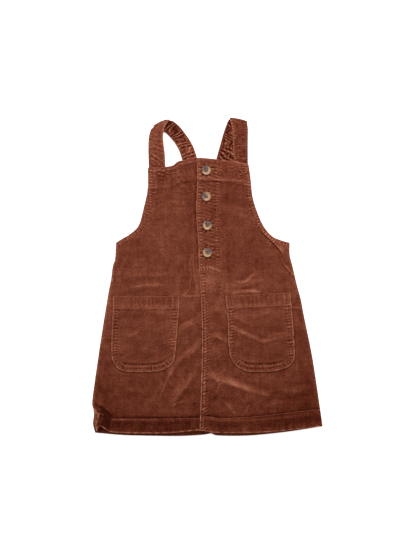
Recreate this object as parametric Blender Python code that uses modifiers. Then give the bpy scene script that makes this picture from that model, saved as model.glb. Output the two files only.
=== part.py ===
"""A child's corduroy pinafore dress, laid flat on its back with the straps folded over.

The dress is cut as two fronts, two backs, two patch pockets and two straps, and closes with four
buttons. The right front laps over the left front: on the bib it lies on a button stand, and on the
skirt it is felled to the left front. Every panel is an open sheet, shaped row by row between its
side edge and its centre edge, and given its thickness with Solidify.

+X is the wearer's left when the dress is seen from the front, +Y is up the dress, +Z is away from
the surface that it lies on. The origin is at the middle of the footprint, on that surface.
Sizes are in millimetres, and MM turns them into Blender's metres.
"""

import math
from collections import namedtuple

import bmesh
import bpy
import numpy as np
from mathutils import Vector
from mathutils.bvhtree import BVHTree

MM = 0.001

# Cloth and clearances
CLOTH = 1.5                 # one layer of corduroy with its pile
BAND = 2.2                  # a turned and stitched band: hems, pocket mouths, the bib's top
STRAP = 2.2                 # two layers of corduroy
GAP = 0.3                   # between pieces that touch
HEM_DEPTH = 25.0
BIB_BAND_DEPTH = 36.0
POCKET_HEM_DEPTH = 20.0
STAND_WIDTH = 31.0          # button stand under the right front
STAND_END = -18.0           # y where the button stand ends
STAND_TAPER = 20.0          # over this length below its end it narrows to the seam's lap
FELL_WIDTH = 7.0            # lap of the felled centre seam on the skirt
LAP_GAP = 0.45              # between the fronts where they lap
LAP_MARGIN = 3.0            # how far past the lap the right front stays raised

# How finely the sheets are divided
SKIRT_ROWS, BIB_ROWS = 31, 18
PANEL_COLUMNS, STAND_COLUMNS = 15, 4
BACK_SKIRT_ROWS, BACK_BODICE_ROWS, BACK_COLUMNS = 24, 9, 8
POCKET_COLUMNS, POCKET_ROWS = 12, 17
STRAP_COLUMNS, STRAP_STEP, FOLD_STEPS = 4, 5.0, 6

# How high the front lies over the back, and how far its changes of height spread
LOFT = 0.7                  # rise of the front from its side seams to its middle
LOFT_REACH = 30.0
EDGE_BLEND = 6.0            # from a band's full thickness to a single layer
LAP_BLEND = 12.0            # down from the lap to the cloth beside it
HEM_CURVE_SHARE = 0.3       # share of the skirt's rows that follow the hem's curve
TOP_CURVE_ROWS = 5.0        # rows that follow the top edge's curve
POCKET_REACH = 6.5          # a pocket clears whatever lies this near below it

BUTTON_DIAMETER, BUTTON_THICKNESS = 15.0, 3.0
BUTTON_RIM_WIDTH, BUTTON_DISH_DEPTH, BUTTON_ROUNDING = 2.0, 0.8, 0.9
BUTTON_HOLE_DIAMETER, BUTTON_HOLE_SPACING = 1.6, 3.2

Point = namedtuple("Point", "x y")
Fold = namedtuple("Fold", "name x0 y0 x1 y1 half_width height")
Lift = namedtuple("Lift", "name x0 x1 y0 y1 blend rise")
Level = namedtuple("Level", "y left right")
Section = namedtuple("Section", "outer_x outer_y inner_x inner_y z", defaults=[0.0])

# Edges of the panels, from the hem up. The underarm parts the side seam from the armhole.
LEFT_SIDE_SEAM = [
    Point(-181.0, -254.4), Point(-178.8, -228.0), Point(-187.8, -203.5), Point(-183.3, -167.4),
    Point(-174.4, -99.8), Point(-162.6, -28.6), Point(-157.6, -4.0), Point(-154.8, 18.0),
    Point(-151.0, 30.0), Point(-149.6, 55.4),
]
LEFT_ARMHOLE = [
    Point(-149.6, 55.4), Point(-138.6, 62.2), Point(-126.9, 69.0), Point(-112.4, 84.4),
    Point(-103.4, 116.7), Point(-97.6, 145.0), Point(-97.4, 178.8),
]
RIGHT_SIDE_SEAM = [
    Point(188.8, -244.8), Point(180.4, -188.2), Point(171.7, -127.2), Point(159.4, -67.5),
    Point(153.8, -38.0), Point(147.6, -15.5), Point(139.6, 17.3), Point(134.9, 36.0),
    Point(134.8, 55.9),
]
RIGHT_ARMHOLE = [
    Point(134.8, 55.9), Point(111.4, 63.0), Point(94.7, 79.2), Point(83.5, 101.6),
    Point(74.4, 130.0), Point(71.0, 160.0), Point(67.6, 184.0),
]
CENTRE_SKIRT = [
    Point(-12.9, -251.6), Point(-10.4, -179.0), Point(-8.6, -111.8), Point(-9.8, -33.0),
    Point(-13.7, 29.3), Point(-14.2, 48.0),
]
CENTRE_BIB = [Point(-14.2, 48.0), Point(-18.4, 106.4), Point(-16.5, 158.8), Point(-18.4, 194.6)]
BACK_LEFT_SEAM = [
    Point(-183.8, -254.8), Point(-187.4, -240.0), Point(-185.6, -222.0), Point(-188.6, -205.0),
] + LEFT_SIDE_SEAM[3:]
BACK_LEFT_ARMHOLE = [
    Point(-149.6, 55.4), Point(-118.7, 65.3), Point(-94.0, 90.0), Point(-77.6, 117.8),
    Point(-60.0, 150.0), Point(-44.0, 175.0),
]
BACK_RIGHT_ARMHOLE = [
    Point(134.8, 55.9), Point(104.0, 65.3), Point(80.0, 90.0), Point(61.0, 117.8),
    Point(44.5, 145.0), Point(38.0, 175.0),
]
CENTRE_BACK_SKIRT = [Point(6.0, -257.0), Point(3.8, 45.0)]
CENTRE_BACK_BODICE = [Point(3.8, 45.0), Point(2.8, 175.0)]

# Hem and top edges, from left to right
FRONT_HEM = [
    Point(-181.0, -254.4), Point(-174.0, -248.6), Point(-159.8, -252.8), Point(-140.8, -255.6),
    Point(-100.1, -256.4), Point(-56.5, -255.6), Point(-12.9, -251.6), Point(14.2, -255.3),
    Point(63.1, -255.6), Point(103.9, -254.0), Point(144.7, -249.4), Point(188.8, -244.8),
]
BACK_HEM = [
    Point(-183.8, -254.8), Point(-140.8, -258.6), Point(-100.1, -260.4), Point(-45.7, -260.9),
    Point(-7.6, -258.9), Point(6.0, -257.0), Point(18.0, -260.2), Point(63.1, -260.4),
    Point(103.9, -257.6), Point(144.7, -251.4), Point(188.8, -244.8),
]
BIB_TOP = [
    Point(-97.4, 178.8), Point(-61.0, 180.5), Point(-48.8, 188.0), Point(-39.3, 190.8),
    Point(-18.4, 194.6), Point(6.8, 194.1), Point(27.5, 190.8), Point(44.4, 189.3),
    Point(67.6, 184.0),
]
BACK_TOP = [Point(-44.0, 175.0), Point(2.8, 172.0), Point(38.0, 175.0)]

# The largest folds of the fronts: a ridge from one end to the other, and its height
FOLDS = [
    Fold("right_skirt_ridge", -4.0, -146.0, 103.0, -193.0, 17.0, 2.6),
    Fold("left_skirt_ridge", -12.0, -100.0, -76.0, -200.0, 18.0, 2.0),
    Fold("right_waist_upper", 40.0, -8.0, 92.0, 6.0, 12.0, 2.0),
    Fold("right_waist_lower", 36.0, -27.0, 86.0, -24.0, 12.0, 1.4),
    Fold("left_waist", -138.0, -20.0, -62.0, -12.0, 12.0, 1.6),
    Fold("right_pocket_inner", 30.0, -80.0, 92.0, -108.0, 14.0, 1.8),
    Fold("right_pocket_outer", 88.0, -108.0, 134.0, -94.0, 14.0, 1.6),
    Fold("underarm_tuck", 92.0, 84.0, 140.0, 14.0, 14.0, 2.0),
    Fold("left_hem_corner", -182.0, -206.0, -150.0, -222.0, 11.0, 1.8),
]

# Where the fronts lie on the strap ends
LIFTS = [
    Lift("left_front_strap", -108.0, -56.0, 148.0, 220.0, 9.0, 1.2),
    Lift("right_front_strap", 32.0, 80.0, 148.0, 220.0, 9.0, 1.2),
    Lift("back_straps", -54.0, 58.0, 142.0, 220.0, 12.0, 2.5),
]

# Patch pockets, from the mouth down to the flat of the bottom edge
LEFT_POCKET = [
    Level(-31.4, -154.6, -45.8), Level(-56.5, -154.8, -46.7), Level(-95.7, -156.8, -49.8),
    Level(-127.0, -156.8, -52.6), Level(-138.5, -154.4, -55.6), Level(-147.5, -148.8, -63.5),
    Level(-153.0, -141.0, -75.0), Level(-155.6, -131.0, -90.0),
]
RIGHT_POCKET = [
    Level(-31.4, 29.4, 135.8), Level(-64.4, 33.0, 138.8), Level(-103.6, 34.4, 142.0),
    Level(-126.0, 36.4, 143.0), Level(-138.0, 41.0, 141.0), Level(-147.0, 48.6, 133.0),
    Level(-152.6, 58.5, 118.0), Level(-155.4, 70.0, 99.0),
]
POCKET_MOUTH_RISE = {"left": 0.0, "right": 6.0}   # how much the outer end of the mouth lies higher

# Straps, from the bib's corner to the fold: the edge away from the neck, the edge next to it, and
# the height of the underside
LEFT_STRAP_FRONT = [
    Section(-95.6, 160.0, -67.2, 160.0), Section(-96.0, 181.8, -68.6, 181.3),
    Section(-96.6, 201.5, -70.0, 202.0), Section(-96.8, 219.5, -72.2, 217.2, 0.8),
    Section(-95.4, 230.0, -72.6, 229.4, 2.4), Section(-93.0, 238.4, -70.6, 239.6, 3.8),
]
LEFT_STRAP_FOLD = Section(-88.0, 242.2, -61.2, 253.6)
LEFT_STRAP_BACK = [
    Section(-78.0, 240.6, -57.6, 255.0), Section(-67.4, 234.6, -46.6, 247.4),
    Section(-59.8, 227.4, -37.5, 236.5), Section(-52.6, 218.2, -29.2, 224.8),
    Section(-46.0, 207.0, -22.8, 212.0), Section(-40.8, 190.8, -16.6, 194.6),
    Section(-33.8, 174.0, -11.2, 177.8), Section(-27.0, 155.0, -5.0, 160.0),
]
RIGHT_STRAP_FRONT = [
    Section(67.0, 160.0, 43.4, 160.0), Section(66.6, 185.0, 44.4, 189.8),
    Section(66.4, 206.0, 42.2, 207.7, 1.0), Section(66.4, 226.0, 41.6, 226.0, 2.6),
    Section(66.6, 243.0, 40.8, 243.0, 3.6),
]
RIGHT_STRAP_FOLD = Section(63.6, 251.2, 37.8, 257.2)
RIGHT_STRAP_BACK = [
    Section(58.6, 247.0, 34.4, 254.4), Section(52.3, 231.0, 27.6, 235.9),
    Section(47.4, 211.3, 21.8, 217.2), Section(43.6, 191.6, 14.8, 192.6),
    Section(36.0, 174.0, 11.2, 175.0), Section(29.0, 156.0, 6.6, 156.0),
]
FOLD_RADIUS = 1.2           # inside radius of the strap's fold
STRAP_REST = 0.1            # a strap's underside over the surface
LEFT_FOLD_CROWN, RIGHT_FOLD_CROWN = 3.6, 1.6   # how far the fold's middle stands out past its ends
STRAP_WAVES = 0.5           # height of the gathers on the back stretches
STRAP_WAVE_LENGTH = 15.0
WAVES_FROM = 196.0          # y above which the back stretches are gathered, clear of the bib
CLIMB_START, CLIMB_END = 16.0, 6.0   # a strap climbs onto the back between these, above its top edge
FOLD_BLEND = 3.0            # steps over which the fold's crown comes and goes

BUTTONS = [Point(-1.6, 173.8), Point(-1.4, 131.4), Point(-0.1, 84.1), Point(-0.1, 39.6)]


def clear_scene():
    for old in list(bpy.data.objects):
        bpy.data.objects.remove(old, do_unlink=True)


def material(name, colour, roughness, sheen=0.0):
    made = bpy.data.materials.new(name)
    made.use_nodes = True
    shader = made.node_tree.nodes["Principled BSDF"]
    shader.inputs["Base Color"].default_value = (*colour, 1.0)
    shader.inputs["Roughness"].default_value = roughness
    shader.inputs["Metallic"].default_value = 0.0
    shader.inputs["Sheen Weight"].default_value = sheen
    return made


def smoothstep(t):
    t = min(max(t, 0.0), 1.0)
    return t * t * (3.0 - 2.0 * t)


def catmull_rom(points, per_span=12):
    """A smooth path through rows of numbers."""
    rows = [np.array(point, float) for point in points]
    rows = [2 * rows[0] - rows[1]] + rows + [2 * rows[-1] - rows[-2]]
    path = []
    for before, start, end, after in zip(rows, rows[1:], rows[2:], rows[3:]):
        for step in range(per_span):
            t = step / per_span
            path.append(0.5 * (2 * start + (end - before) * t
                               + (2 * before - 5 * start + 4 * end - after) * t ** 2
                               + (3 * start - before - 3 * end + after) * t ** 3))
    return np.array(path + [rows[-2]])


def spaced(points, count):
    """count + 1 rows of numbers, evenly far apart along the smooth path through points."""
    path = catmull_rom(points)
    travelled = np.concatenate([[0.0], np.cumsum(np.linalg.norm(np.diff(path[:, :2], axis=0), axis=1))])
    stations = np.linspace(0.0, travelled[-1], count + 1)
    return np.stack([np.interp(stations, travelled, column) for column in path.T], axis=1)


def edge(lower, upper, lower_rows, upper_rows):
    """A panel's edge in two stretches that meet in a corner, one point for each row."""
    return np.concatenate([spaced(lower, lower_rows), spaced(upper, upper_rows)[1:]])


def across(points, x):
    return float(np.interp(x, [point.x for point in points], [point.y for point in points]))


def fold_height(fold, x, y):
    """A ridge with a rounded crown that dies away at both ends."""
    run = np.array([fold.x1 - fold.x0, fold.y1 - fold.y0])
    length = np.linalg.norm(run)
    place = np.array([x - fold.x0, y - fold.y0])
    along = float(place @ run) / length
    aside = abs(float(run[0] * place[1] - run[1] * place[0])) / length
    if aside >= fold.half_width:
        return 0.0
    end = smoothstep(along / fold.half_width) * smoothstep((length - along) / fold.half_width)
    return fold.height * end * math.cos(0.5 * math.pi * aside / fold.half_width) ** 2


def lift_height(lift, x, y):
    inside = min(x - lift.x0, lift.x1 - x, y - lift.y0, lift.y1 - y)
    return lift.rise * smoothstep(inside / lift.blend)


def band_share(distance, depth):
    """1 within a band's depth of its edge, 0 a little further in."""
    return 1.0 - smoothstep((distance - depth) / EDGE_BLEND)


def front_underside(x, y, from_side):
    """Height of a front's underside over the surface, before any lap."""
    over_hem = band_share(y - across(BACK_HEM, x), HEM_DEPTH)
    height = CLOTH + (BAND - CLOTH) * over_hem + GAP
    height += LOFT * smoothstep(from_side / LOFT_REACH)
    height += sum(fold_height(fold, x, y) for fold in FOLDS)
    return height + max(lift_height(lift, x, y) for lift in LIFTS)


def front_thickness(x, y):
    in_band = max(band_share(y - across(FRONT_HEM, x), HEM_DEPTH),
                  band_share(across(BIB_TOP, x) - y, BIB_BAND_DEPTH))
    return CLOTH + (BAND - CLOTH) * in_band


def lap_width(y):
    """How far the left front reaches under the right front, past the lap's edge."""
    return FELL_WIDTH + (STAND_WIDTH - FELL_WIDTH) * smoothstep((y - STAND_END) / STAND_TAPER + 1.0)


def sheet(name, rows, heights, thicknesses, finish, collection):
    """An open grid of quads, rows by columns, thickened away from the surface it lies on."""
    shape = bmesh.new()
    grid = [[shape.verts.new((x * MM, y * MM, z * MM)) for (x, y), z in zip(row, levels)]
            for row, levels in zip(rows, heights)]
    for lower, upper in zip(grid, grid[1:]):
        for corner, beside in zip(range(len(lower)), range(1, len(lower))):
            shape.faces.new((lower[corner], lower[beside], upper[beside], upper[corner]))
    mesh = bpy.data.meshes.new(name)
    shape.to_mesh(mesh)
    shape.free()
    made = bpy.data.objects.new(name, mesh)
    collection.objects.link(made)
    mesh.materials.append(finish)
    weights = made.vertex_groups.new(name="thickness")
    for index, thickness in enumerate(np.ravel(thicknesses)):
        weights.add([index], thickness / BAND, "REPLACE")
    wall = made.modifiers.new("wall", "SOLIDIFY")
    wall.thickness = BAND * MM
    wall.offset = 1.0
    wall.vertex_group = weights.name
    mesh.shade_smooth()
    mesh.set_sharp_from_angle(angle=math.radians(50))
    return made


def panel_rows(side, centre, columns, hem, top, lower_rows):
    """Points from the side edge to the centre edge, row by row, with the hem's and the top's curve."""
    rows = []
    count = len(side)
    for index, (outer, inner) in enumerate(zip(side, centre)):
        hem_share = 1.0 - smoothstep(index / (HEM_CURVE_SHARE * lower_rows))
        top_share = smoothstep((index - count + 1) / TOP_CURVE_ROWS + 1.0)
        row = []
        for column in range(columns + 1):
            place = outer + (inner - outer) * column / columns
            for outline, share, chord in ((hem, hem_share, (side[0], centre[0])),
                                          (top, top_share, (side[-1], centre[-1]))):
                ends = sorted((tuple(chord[0]), tuple(chord[1])))
                x = chord[0][0] + (chord[1][0] - chord[0][0]) * column / columns
                straight = np.interp(x, [end[0] for end in ends], [end[1] for end in ends])
                place = place + np.array([0.0, share * (across(outline, x) - straight)])
            row.append(place)
        rows.append(row)
    return rows


def front_left(finish, collection):
    """The left front, with the button stand and the seam lap that reach under the right front."""
    side = edge(LEFT_SIDE_SEAM, LEFT_ARMHOLE, SKIRT_ROWS, BIB_ROWS)
    centre = edge(CENTRE_SKIRT, CENTRE_BIB, SKIRT_ROWS, BIB_ROWS)
    rows = panel_rows(side, centre, PANEL_COLUMNS, FRONT_HEM, BIB_TOP, SKIRT_ROWS)
    heights, thicknesses = [], []
    for row in rows:
        outer, inner = row[0], row[-1]
        reach = lap_width(inner[1])
        row.extend(inner + np.array([reach * step / STAND_COLUMNS, 0.0])
                   for step in range(1, STAND_COLUMNS + 1))
        heights.append([front_underside(x, y, math.dist((x, y), outer)) for x, y in row])
        thicknesses.append([front_thickness(x, y) for x, y in row])
    return sheet("front_left", rows, heights, thicknesses, finish, collection)


def front_right(finish, collection):
    """The right front, which climbs over the left front's lap along the centre."""
    side = edge(RIGHT_SIDE_SEAM, RIGHT_ARMHOLE, SKIRT_ROWS, BIB_ROWS)
    centre = edge(CENTRE_SKIRT, CENTRE_BIB, SKIRT_ROWS, BIB_ROWS)
    stand_edge = centre + np.array([STAND_WIDTH + 1.0, 0.0])
    inner_rows = panel_rows(centre, stand_edge, STAND_COLUMNS, FRONT_HEM, BIB_TOP, SKIRT_ROWS)
    outer_rows = panel_rows(stand_edge, side, PANEL_COLUMNS, FRONT_HEM, BIB_TOP, SKIRT_ROWS)
    rows, heights, thicknesses = [], [], []
    for inner_row, outer_row, lap_edge in zip(inner_rows, outer_rows, centre):
        row = inner_row[:-1] + [0.5 * (inner_row[-1] + outer_row[0])] + outer_row[1:]
        levels = []
        for x, y in row:
            past = x - lap_edge[0] - lap_width(y)
            climb = front_thickness(x, y) + LAP_GAP
            lap = climb * (1.0 - smoothstep((past - LAP_MARGIN) / LAP_BLEND))
            levels.append(front_underside(x, y, math.dist((x, y), row[-1])) + lap)
        rows.append(row)
        heights.append(levels)
        thicknesses.append([front_thickness(x, y) for x, y in row])
    return sheet("front_right", rows, heights, thicknesses, finish, collection)


def back(name, side, centre, flip, finish, collection):
    """Half of the back, flat on the surface, kept half a gap from the centre-back seam."""
    rows = panel_rows(side, centre, BACK_COLUMNS, BACK_HEM, BACK_TOP, BACK_SKIRT_ROWS)
    if flip:
        rows = [row[::-1] for row in rows]
    heights = [[0.0 for _ in row] for row in rows]
    thicknesses = [[CLOTH + (BAND - CLOTH) * band_share(y - across(BACK_HEM, x), HEM_DEPTH - 6.0)
                    for x, y in row] for row in rows]
    return sheet(name, rows, heights, thicknesses, finish, collection)


def surface_of(obj):
    return BVHTree.FromObject(obj, bpy.context.evaluated_depsgraph_get())


def highest(surface, x, y, reach):
    """The highest point of a surface within reach of a place, in millimetres."""
    directions = 12
    found = []
    for ring in (0.0, 0.5, 1.0):
        for turn in range(directions):
            angle = math.tau * turn / directions
            above = Vector(((x + reach * ring * math.cos(angle)) * MM,
                            (y + reach * ring * math.sin(angle)) * MM, 1.0))
            hit = surface.ray_cast(above, Vector((0.0, 0.0, -1.0)))[0]
            if hit:
                found.append(hit.z / MM)
    return max(found)


def pocket(name, levels, mouth_rise, under, finish, collection):
    """A patch pocket that follows the front below it, with a thicker hem along its mouth."""
    smooth = spaced([(level.left, level.y, level.right) for level in levels], POCKET_ROWS)
    rows, heights, thicknesses = [], [], []
    for left, y, right in smooth[::-1]:
        row = []
        for column in range(POCKET_COLUMNS + 1):
            x = left + (right - left) * column / POCKET_COLUMNS
            mouth_share = smoothstep((y - levels[-1].y) / (levels[0].y - levels[-1].y))
            row.append((x, y + mouth_rise * mouth_share * column / POCKET_COLUMNS))
        rows.append(row)
        heights.append([highest(under, px, py, POCKET_REACH) + GAP for px, py in row])
        in_hem = band_share(levels[0].y - y, POCKET_HEM_DEPTH)
        thicknesses.append([CLOTH + (BAND - CLOTH) * in_hem for _ in row])
    return sheet(name, rows, heights, thicknesses, finish, collection)


def strap_sections(front, fold, back_stretch):
    """The strap's sections along its whole length, by the height of its inside face, each with its
    share of the fold's crown."""
    ahead = spaced(front, round((fold.outer_y - front[0].outer_y) / STRAP_STEP))
    ahead[:, -1] = np.maximum(ahead[:, -1], 0.0)
    sections = [(Section(*row), smoothstep((index - len(ahead) + 1) / FOLD_BLEND + 1.0))
                for index, row in enumerate(ahead)]
    line = np.array([fold.inner_x - fold.outer_x, fold.inner_y - fold.outer_y])
    outwards = np.array([-line[1], line[0]]) / np.linalg.norm(line)
    outwards *= math.copysign(1.0, outwards[1])
    for step in range(FOLD_STEPS + 1):
        angle = math.pi * step / FOLD_STEPS
        x, y = outwards * FOLD_RADIUS * math.sin(angle)
        z = STRAP_REST + STRAP + FOLD_RADIUS * (1.0 + math.cos(angle))
        turned = Section(fold.outer_x + x, fold.outer_y + y, fold.inner_x + x, fold.inner_y + y, z)
        sections.append((turned, 1.0))
    behind = spaced(back_stretch, round((fold.outer_y - back_stretch[-1].outer_y) / STRAP_STEP))
    for index, row in enumerate(behind):
        lie = Section(*row)
        middle_y = 0.5 * (lie.outer_y + lie.inner_y)
        share = smoothstep(index / FOLD_BLEND) * smoothstep((middle_y - WAVES_FROM) / EDGE_BLEND)
        wave = STRAP_WAVES * share * (1.0 + math.sin(math.tau * index * STRAP_STEP / STRAP_WAVE_LENGTH))
        above_back = min(lie.outer_y, lie.inner_y) - BACK_TOP[0].y
        climb = (CLOTH + GAP) * smoothstep((CLIMB_START - above_back) / (CLIMB_START - CLIMB_END))
        crown_share = 1.0 - smoothstep((index + 1) / FOLD_BLEND)
        sections.append((lie._replace(z=STRAP_REST + STRAP + wave + climb), crown_share))
    return sections, outwards


def strap(name, front, fold, back_stretch, crown, turn_over, finish, collection):
    """A strap as one ribbon: up from the bib, over in a fold, and down under itself to the back."""
    sections, outwards = strap_sections(front, fold, back_stretch)
    rows, heights = [], []
    for section, crown_share in sections:
        ends = [np.array([section.outer_x, section.outer_y]), np.array([section.inner_x, section.inner_y])]
        if turn_over:
            ends.reverse()
        row = []
        for column in range(STRAP_COLUMNS + 1):
            share = column / STRAP_COLUMNS
            bulge = crown * crown_share * 4.0 * share * (1.0 - share)
            row.append(ends[0] + (ends[1] - ends[0]) * share + outwards * bulge)
        rows.append(row)
        heights.append([section.z for _ in row])
    thicknesses = [[STRAP for _ in row] for row in rows]
    return sheet(name, rows, heights, thicknesses, finish, collection)


def button(name, place, under, finish, collection):
    """A turned four-hole button with a raised rim, lying on the placket."""
    radius = BUTTON_DIAMETER / 2.0
    dish = radius - BUTTON_RIM_WIDTH
    profile = [
        (0.0, BUTTON_THICKNESS - BUTTON_DISH_DEPTH),
        (0.7 * dish, BUTTON_THICKNESS - BUTTON_DISH_DEPTH),
        (dish, BUTTON_THICKNESS - 0.25 * BUTTON_DISH_DEPTH),
        (0.5 * (dish + radius), BUTTON_THICKNESS),
        (radius, BUTTON_THICKNESS - BUTTON_ROUNDING),
        (radius, BUTTON_ROUNDING),
        (dish, 0.0),
        (0.0, 0.0),
    ]
    mesh = bpy.data.meshes.new(name)
    mesh.from_pydata([(r * MM, 0.0, z * MM) for r, z in profile],
                     [(i, i + 1) for i in range(len(profile) - 1)], [])
    made = bpy.data.objects.new(name, mesh)
    collection.objects.link(made)
    mesh.materials.append(finish)
    height = highest(under, place.x, place.y, radius) + GAP
    made.location = (place.x * MM, place.y * MM, height * MM)
    screw = made.modifiers.new("turned", "SCREW")
    screw.steps = 20
    screw.render_steps = 20
    screw.use_merge_vertices = True
    screw.merge_threshold = 0.00001
    screw.use_smooth_shade = True
    aside = BUTTON_HOLE_SPACING / 2 * MM
    for x, y in ((-aside, -aside), (aside, -aside), (-aside, aside), (aside, aside)):
        hole = hole_cutter(f"{name}_hole")
        hole.parent = made
        hole.location = (x, y, BUTTON_THICKNESS / 2 * MM)
        cut = made.modifiers.new(hole.name, "BOOLEAN")
        cut.operation = "DIFFERENCE"
        cut.object = hole
    return made


def hole_cutter(name):
    shape = bmesh.new()
    bmesh.ops.create_cone(shape, cap_ends=True, segments=8, radius1=BUTTON_HOLE_DIAMETER / 2 * MM,
                          radius2=BUTTON_HOLE_DIAMETER / 2 * MM, depth=3 * BUTTON_THICKNESS * MM)
    mesh = bpy.data.meshes.new(name)
    shape.to_mesh(mesh)
    shape.free()
    cutter = bpy.data.objects.new(name, mesh)
    bpy.data.collections["cutters"].objects.link(cutter)
    cutter.hide_render = True
    cutter.display_type = "WIRE"
    return cutter


def main():
    clear_scene()
    dress = bpy.data.collections.new("pinafore_dress")
    cutters = bpy.data.collections.new("cutters")
    for collection in (dress, cutters):
        bpy.context.scene.collection.children.link(collection)
    corduroy = material("corduroy", (0.165, 0.036, 0.021), 0.85, sheen=0.4)
    reverse = material("corduroy_strap", (0.14, 0.030, 0.018), 0.85, sheen=0.4)
    horn = material("horn", (0.55, 0.40, 0.24), 0.35)

    side = edge(BACK_LEFT_SEAM, BACK_LEFT_ARMHOLE, BACK_SKIRT_ROWS, BACK_BODICE_ROWS)
    centre = edge(CENTRE_BACK_SKIRT, CENTRE_BACK_BODICE, BACK_SKIRT_ROWS, BACK_BODICE_ROWS)
    half_gap = np.array([GAP / 2, 0.0])
    back("back_left", side, centre - half_gap, False, corduroy, dress)
    side = edge(RIGHT_SIDE_SEAM, BACK_RIGHT_ARMHOLE, BACK_SKIRT_ROWS, BACK_BODICE_ROWS)
    back("back_right", side, centre + half_gap, True, corduroy, dress)

    left, right = front_left(corduroy, dress), front_right(corduroy, dress)
    under_left, under_right = surface_of(left), surface_of(right)
    pocket("pocket_left", LEFT_POCKET, POCKET_MOUTH_RISE["left"], under_left, corduroy, dress)
    pocket("pocket_right", RIGHT_POCKET, POCKET_MOUTH_RISE["right"], under_right, corduroy, dress)
    strap("strap_left", LEFT_STRAP_FRONT, LEFT_STRAP_FOLD, LEFT_STRAP_BACK, LEFT_FOLD_CROWN,
          False, reverse, dress)
    strap("strap_right", RIGHT_STRAP_FRONT, RIGHT_STRAP_FOLD, RIGHT_STRAP_BACK, RIGHT_FOLD_CROWN,
          True, reverse, dress)
    for number, place in enumerate(BUTTONS, start=1):
        button(f"button_{number}", place, under_right, horn, dress)


main()
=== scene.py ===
import math
from collections import namedtuple

import bmesh
import bpy
import numpy as np
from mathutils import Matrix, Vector


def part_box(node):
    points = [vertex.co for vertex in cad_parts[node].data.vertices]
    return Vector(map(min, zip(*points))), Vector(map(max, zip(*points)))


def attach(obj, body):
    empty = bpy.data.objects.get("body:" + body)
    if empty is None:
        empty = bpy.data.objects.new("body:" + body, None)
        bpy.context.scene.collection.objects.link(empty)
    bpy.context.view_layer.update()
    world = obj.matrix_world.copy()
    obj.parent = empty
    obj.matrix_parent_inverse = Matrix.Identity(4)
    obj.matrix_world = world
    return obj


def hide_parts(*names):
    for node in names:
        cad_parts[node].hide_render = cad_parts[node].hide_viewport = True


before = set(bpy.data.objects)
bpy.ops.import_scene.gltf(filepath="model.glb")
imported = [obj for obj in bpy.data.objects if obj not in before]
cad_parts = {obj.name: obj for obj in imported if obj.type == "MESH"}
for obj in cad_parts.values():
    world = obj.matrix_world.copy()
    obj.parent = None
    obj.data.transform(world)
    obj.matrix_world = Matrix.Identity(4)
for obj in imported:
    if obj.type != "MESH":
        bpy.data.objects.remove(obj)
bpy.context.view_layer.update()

# A child's pinafore dress in fine corduroy, laid flat. Lengths are in millimetres until a mesh is made.
MM = 0.001
CLOTH, BAND, STRAP, GAP = 1.5, 2.2, 2.2, 0.3
HEM_DEPTH, BIB_BAND_DEPTH, POCKET_HEM_DEPTH = 25.0, 36.0, 20.0
STAND_WIDTH, STAND_END, STAND_TAPER, FELL_WIDTH = 31.0, -18.0, 20.0, 7.0
LAP_GAP, LAP_MARGIN, LAP_BLEND = 0.45, 3.0, 17.0
STAND_TUCK = 0.5            # the button stand's top lies this far below the right front's
LOFT, LOFT_REACH, EDGE_BLEND = 0.7, 30.0, 6.0
HEM_CURVE_REACH, TOP_CURVE_REACH = 93.0, 40.0
ROUNDING = 1.1              # radius of a turned edge
RIM_REACH = 8.0
HEM_SHADE = -0.44           # painted shade: the hem's band is coloured darker
CORNER_TURN = -184.0        # the hem's left corner is turned up here
STITCH_PITCH, STITCH_LENGTH, THREAD_RADIUS = 3.0, 2.4, 0.28
WALE = 1.8                  # one rib of the corduroy and its furrow

# A stripe lightens or darkens the cloth along a seam, partly as painted highlight and painted shade
Stripe = namedtuple("Stripe", "inside width nap")
Rungs = namedtuple("Rungs", "near far tail period height lean")
Seam = namedtuple("Seam", "line side rows stripes rungs seed fade", defaults=(1.5,))
Crease = namedtuple("Crease", "points half_width height lean fade", defaults=(0.34,))
Patch = namedtuple("Patch", "x y across along nap turn rumple", defaults=(0.0, 0.0))
Tuck = namedtuple("Tuck", "points height reach light dark")

LEFT_SIDE_SEAM = [(-181, -254.4), (-184.4, -244), (-185.4, -232), (-184, -224), (-187.8, -212),
                  (-188.4, -203.5), (-183.8, -167.4), (-173.9, -99.8), (-162.4, -28.6), (-157.6, -4),
                  (-154.8, 18), (-151, 30), (-149.6, 56)]
LEFT_ARMHOLE = [(-149.6, 56), (-138.7, 63), (-127.2, 69.8), (-112.4, 84.4), (-103.4, 116.7), (-97.6, 145),
                (-97.4, 178.8)]
RIGHT_SIDE_SEAM = [(188.8, -244.8), (180.7, -188.2), (171.2, -127.2), (159, -67.5), (153.4, -38),
                   (147.3, -15.5), (139.6, 17.3), (134.9, 36), (134.8, 55.9)]
RIGHT_ARMHOLE = [(134.8, 55.9), (111.4, 63), (94.7, 79.2), (83.5, 101.6), (74.4, 130), (71, 160),
                 (67.6, 184)]
CENTRE_SKIRT = [(-12.9, -251.6), (-10.4, -179), (-8.6, -111.8), (-10.4, -33), (-14.2, 22), (-14.4, 48)]
CENTRE_BIB = [(-14.4, 48), (-18.4, 106.4), (-16.5, 158.8), (-18.4, 194.6)]
BACK_LEFT_SEAM = [(-183.8, -255.4), (-187.4, -240), (-185.6, -222), (-188.6, -205)] + LEFT_SIDE_SEAM[6:]
BACK_LEFT_ARMHOLE = [(-149.6, 56), (-118.7, 65.3), (-94, 90), (-77.6, 117.8), (-60, 150), (-44, 175)]
BACK_RIGHT_ARMHOLE = [(134.8, 55.9), (104, 65.3), (80, 90), (61, 117.8), (44.5, 145), (38, 175)]
CENTRE_BACK_SKIRT = [(6, -257), (3.8, 45)]
CENTRE_BACK_BODICE = [(3.8, 45), (2.8, 175)]
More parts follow.
